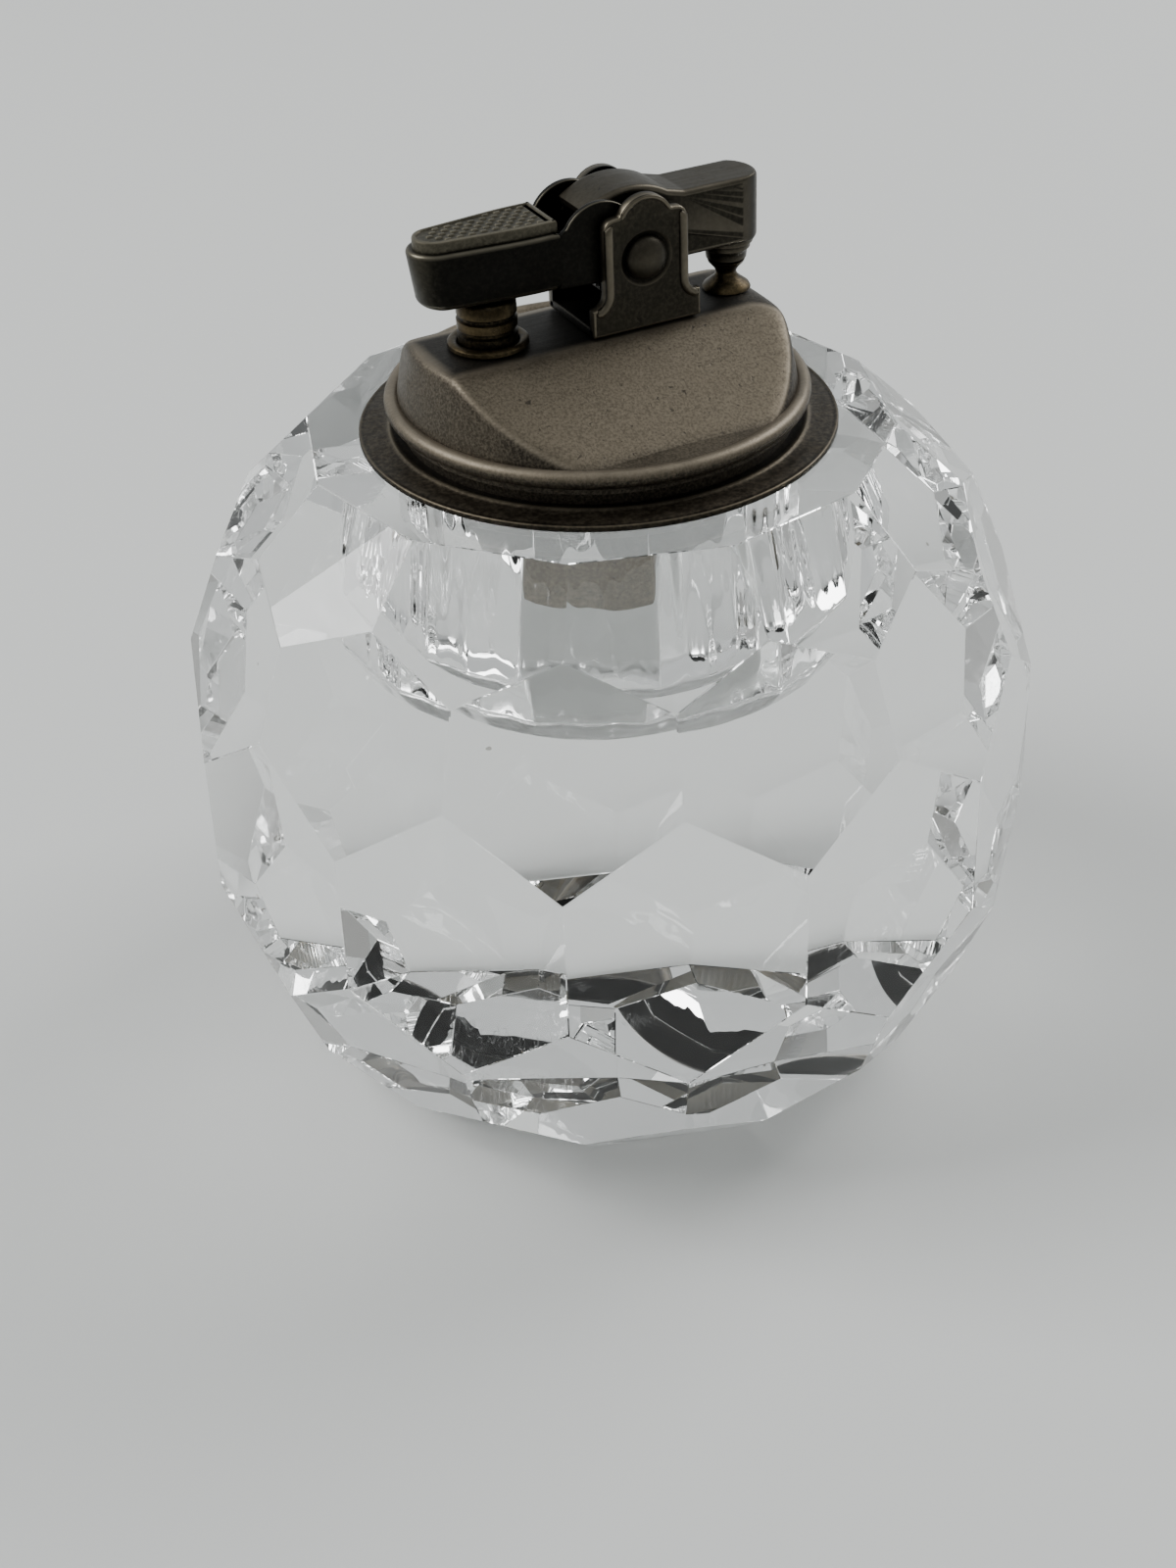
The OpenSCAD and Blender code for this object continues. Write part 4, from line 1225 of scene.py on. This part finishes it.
@dataclass
class TurnedPieces:
    """Plunger, its bush and the burner."""

    plunger_x: float = -10.6
    burner_x: float = 13.6
    deck_z: float = 73.6
    lever_z: float = 78.35

    def build(self, shop: Workshop) -> None:
        """Makes the three turned brass pieces."""
        top, deck = self.lever_z - 0.1, self.deck_z
        plunger = np.array([[2.1, top - 7.0], [2.7, top - 7.0], [2.7, top - 3.5], [2.45, top - 3.35],
                            [2.45, top - 3.1], [2.7, top - 2.95], [2.72, top - 2.2], [2.5, top - 2.05],
                            [2.5, top - 1.8], [2.7, top - 1.65], [2.66, top - 0.7], [2.3, top - 0.25],
                            [1.4, top - 0.03], [0.0, top], [0.0, top - 1.1], [2.1, top - 1.2]])
        wear = [0, 0, 0, 0.1, 0, 0.4, 0.4, 0, 0, 0.35, 0.2, 0.2, 0.1, 0, 0, 0]
        piece = shop.raw("plunger_barrel", [lathe(plunger, 96, wear, -0.45, (self.plunger_x, 0))])
        shop.finish(piece, "aged_brass", Body.PLUNGER, "plunger")
        bush = np.array([[2.78, deck - 4], [3.26, deck - 4], [3.26, deck - 0.1], [3.66, deck],
                         [3.62, deck + 0.3], [3.4, deck + 0.48], [3.0, deck + 0.5], [2.78, deck + 0.35]])
        wear = [0, 0, 0, 0.1, 0.2, 0.35, 0.2, 0]
        piece = shop.raw("plunger_collar", [lathe(np.vstack([bush, bush[:1]]), 96, wear + [0], -0.25,
                                                  (self.plunger_x, 0))])
        shop.finish(piece, "aged_brass", Body.INSERT, "plunger_bush")
        burner = np.array([[0.72, deck - 10], [1.0, deck - 10], [1.0, deck - 0.1], [2.25, deck - 0.1],
                           [2.1, deck + 0.2], [1.5, deck + 0.65], [1.1, deck + 1.0], [0.95, deck + 1.3],
                           [0.95, deck + 1.5], [1.2, deck + 1.9], [1.65, deck + 2.4], [1.72, deck + 2.6],
                           [1.3, deck + 2.66], [1.25, deck + 3.2], [1.0, deck + 3.5], [0.72, deck + 3.5]])
        wear = [0, 0, 0, 0.1, 0.3, 0.1, 0.1, 0.2, 0.2, 0.1, 0.2, 0.3, 0, 0, 0.1, 0]
        piece = shop.raw("burner_tube", [lathe(np.vstack([burner, burner[:1]]), 96, wear + [0], -0.25,
                                               (self.burner_x, 0))])
        shop.finish(piece, "aged_brass", Body.INSERT, "burner")


# ---------------------------------------------------------------- stage


@dataclass
class Stage:
    """Pale floor, soft light and the camera."""

    eye: tuple[float, float, float] = (-0.09317, -0.18445, 0.16228)
    pitch: float = 33.97
    yaw: float = -0.646
    roll: float = -2.356
    heading: float = 26.8
    lens: float = 56.54

    def camera(self) -> None:
        """Places the camera by heading, pitch and roll."""
        turn = radians(-self.heading - self.yaw)
        right = np.array([cos(turn), sin(turn), 0.0])
        level = np.array([-sin(turn), cos(turn), 0.0])
        pitch = radians(self.pitch)
        forward = level * cos(pitch) - np.array([0, 0, 1.0]) * sin(pitch)
        up = np.cross(right, forward)
        roll = radians(self.roll)
        right, up = cos(roll) * right + sin(roll) * up, -sin(roll) * right + cos(roll) * up
        data = bpy.data.cameras.new("camera")
        data.lens, data.sensor_width, data.clip_start = self.lens, 36.0, 0.01
        camera = bpy.data.objects.new("camera", data)
        bpy.context.scene.collection.objects.link(camera)
        turned = Matrix(np.column_stack([right, up, -forward]).tolist()).to_4x4()
        camera.matrix_world = Matrix.Translation(self.eye) @ turned
        bpy.context.scene.camera = camera

    def floor(self) -> None:
        """A wide pale floor."""
        mesh = bpy.data.meshes.new("floor")
        size = 3.0
        low = -0.0004
        corners = [(-size, -size, low), (size, -size, low), (size, size, low), (-size, size, low)]
        mesh.from_pydata(corners, [], [(0, 1, 2, 3)])
        floor = bpy.data.objects.new("floor", mesh)
        bpy.context.scene.collection.objects.link(floor)
        material = bpy.data.materials.new("floor_paper")
        material.use_nodes = True
        shader = material.node_tree.nodes["Principled BSDF"]
        shader.inputs["Base Color"].default_value = (0.62, 0.63, 0.62, 1)
        shader.inputs["Roughness"].default_value = 0.7
        mesh.materials.append(material)

    def area(self, name: str, spot: tuple[float, float, float], aim: tuple[float, float, float], size: float,
             power: float, colour: Colour = (1, 1, 1)) -> None:
        """Adds a soft square light that points at a spot."""
        data = bpy.data.lights.new(name, "AREA")
        data.size, data.energy, data.color = size, power, colour
        light = bpy.data.objects.new(name, data)
        bpy.context.scene.collection.objects.link(light)
        away = np.array(spot) - np.array(aim)
        light.location = spot
        light.rotation_mode = "QUATERNION"
        light.rotation_quaternion = Vector(away).to_track_quat("Z", "Y")

    def world(self) -> None:
        """A pale grey room, dimmer low down on the camera's side."""
        world = bpy.data.worlds.new("room")
        bpy.context.scene.world = world
        world.use_nodes = True
        graph = Graph(world.node_tree)
        background = world.node_tree.nodes["Background"]
        spot = graph.node("ShaderNodeTexCoord").outputs["Generated"]
        split = graph.node("ShaderNodeSeparateXYZ")
        graph.put(split.inputs[0], spot)
        side = graph.math("ADD", graph.math("MULTIPLY", split.outputs[1], 0.85),
                          graph.math("MULTIPLY", split.outputs[0], 0.3))
        far = graph.span(side, -0.75, 0.1, 0.0, 1.0)
        high = graph.span(split.outputs[2], 0.25, 0.75, 0.0, 1.0)
        bright = graph.math("MAXIMUM", far, high)
        graph.put(background.inputs["Color"], graph.mix(bright, (0.3, 0.3, 0.29, 1), (0.62, 0.64, 0.64, 1)))
        background.inputs["Strength"].default_value = 1.0

    def light_paths(self) -> None:
        """Lets light turn many times inside the cut crystal, which is black where a path ends early."""
        cycles = bpy.context.scene.cycles
        cycles.max_bounces = cycles.transmission_bounces = cycles.glossy_bounces = 32

    def build(self) -> None:
        """Sets the whole stage."""
        self.camera()
        self.floor()
        self.world()
        self.light_paths()
        self.area("left_window", (-0.7, 0.35, 0.75), (0, 0, 0.05), 0.6, 9)
        self.area("right_fill", (0.75, 0.1, 0.6), (0, 0, 0.05), 0.5, 5)


def main() -> None:
    """Builds the stage and every sub-assembly."""
    logging.basicConfig(level=logging.INFO, format="%(message)s")
    Stage().build()
    shop = Workshop()
    shop.dress_frame()
    for assembly in (CrystalBall(), InsertBody(), Bracket(), ThumbLever(), Snuffer(), TurnedPieces()):
        LOG.info("building %s", type(assembly).__name__)
        assembly.build(shop)


if __name__ == "__main__":
    main()
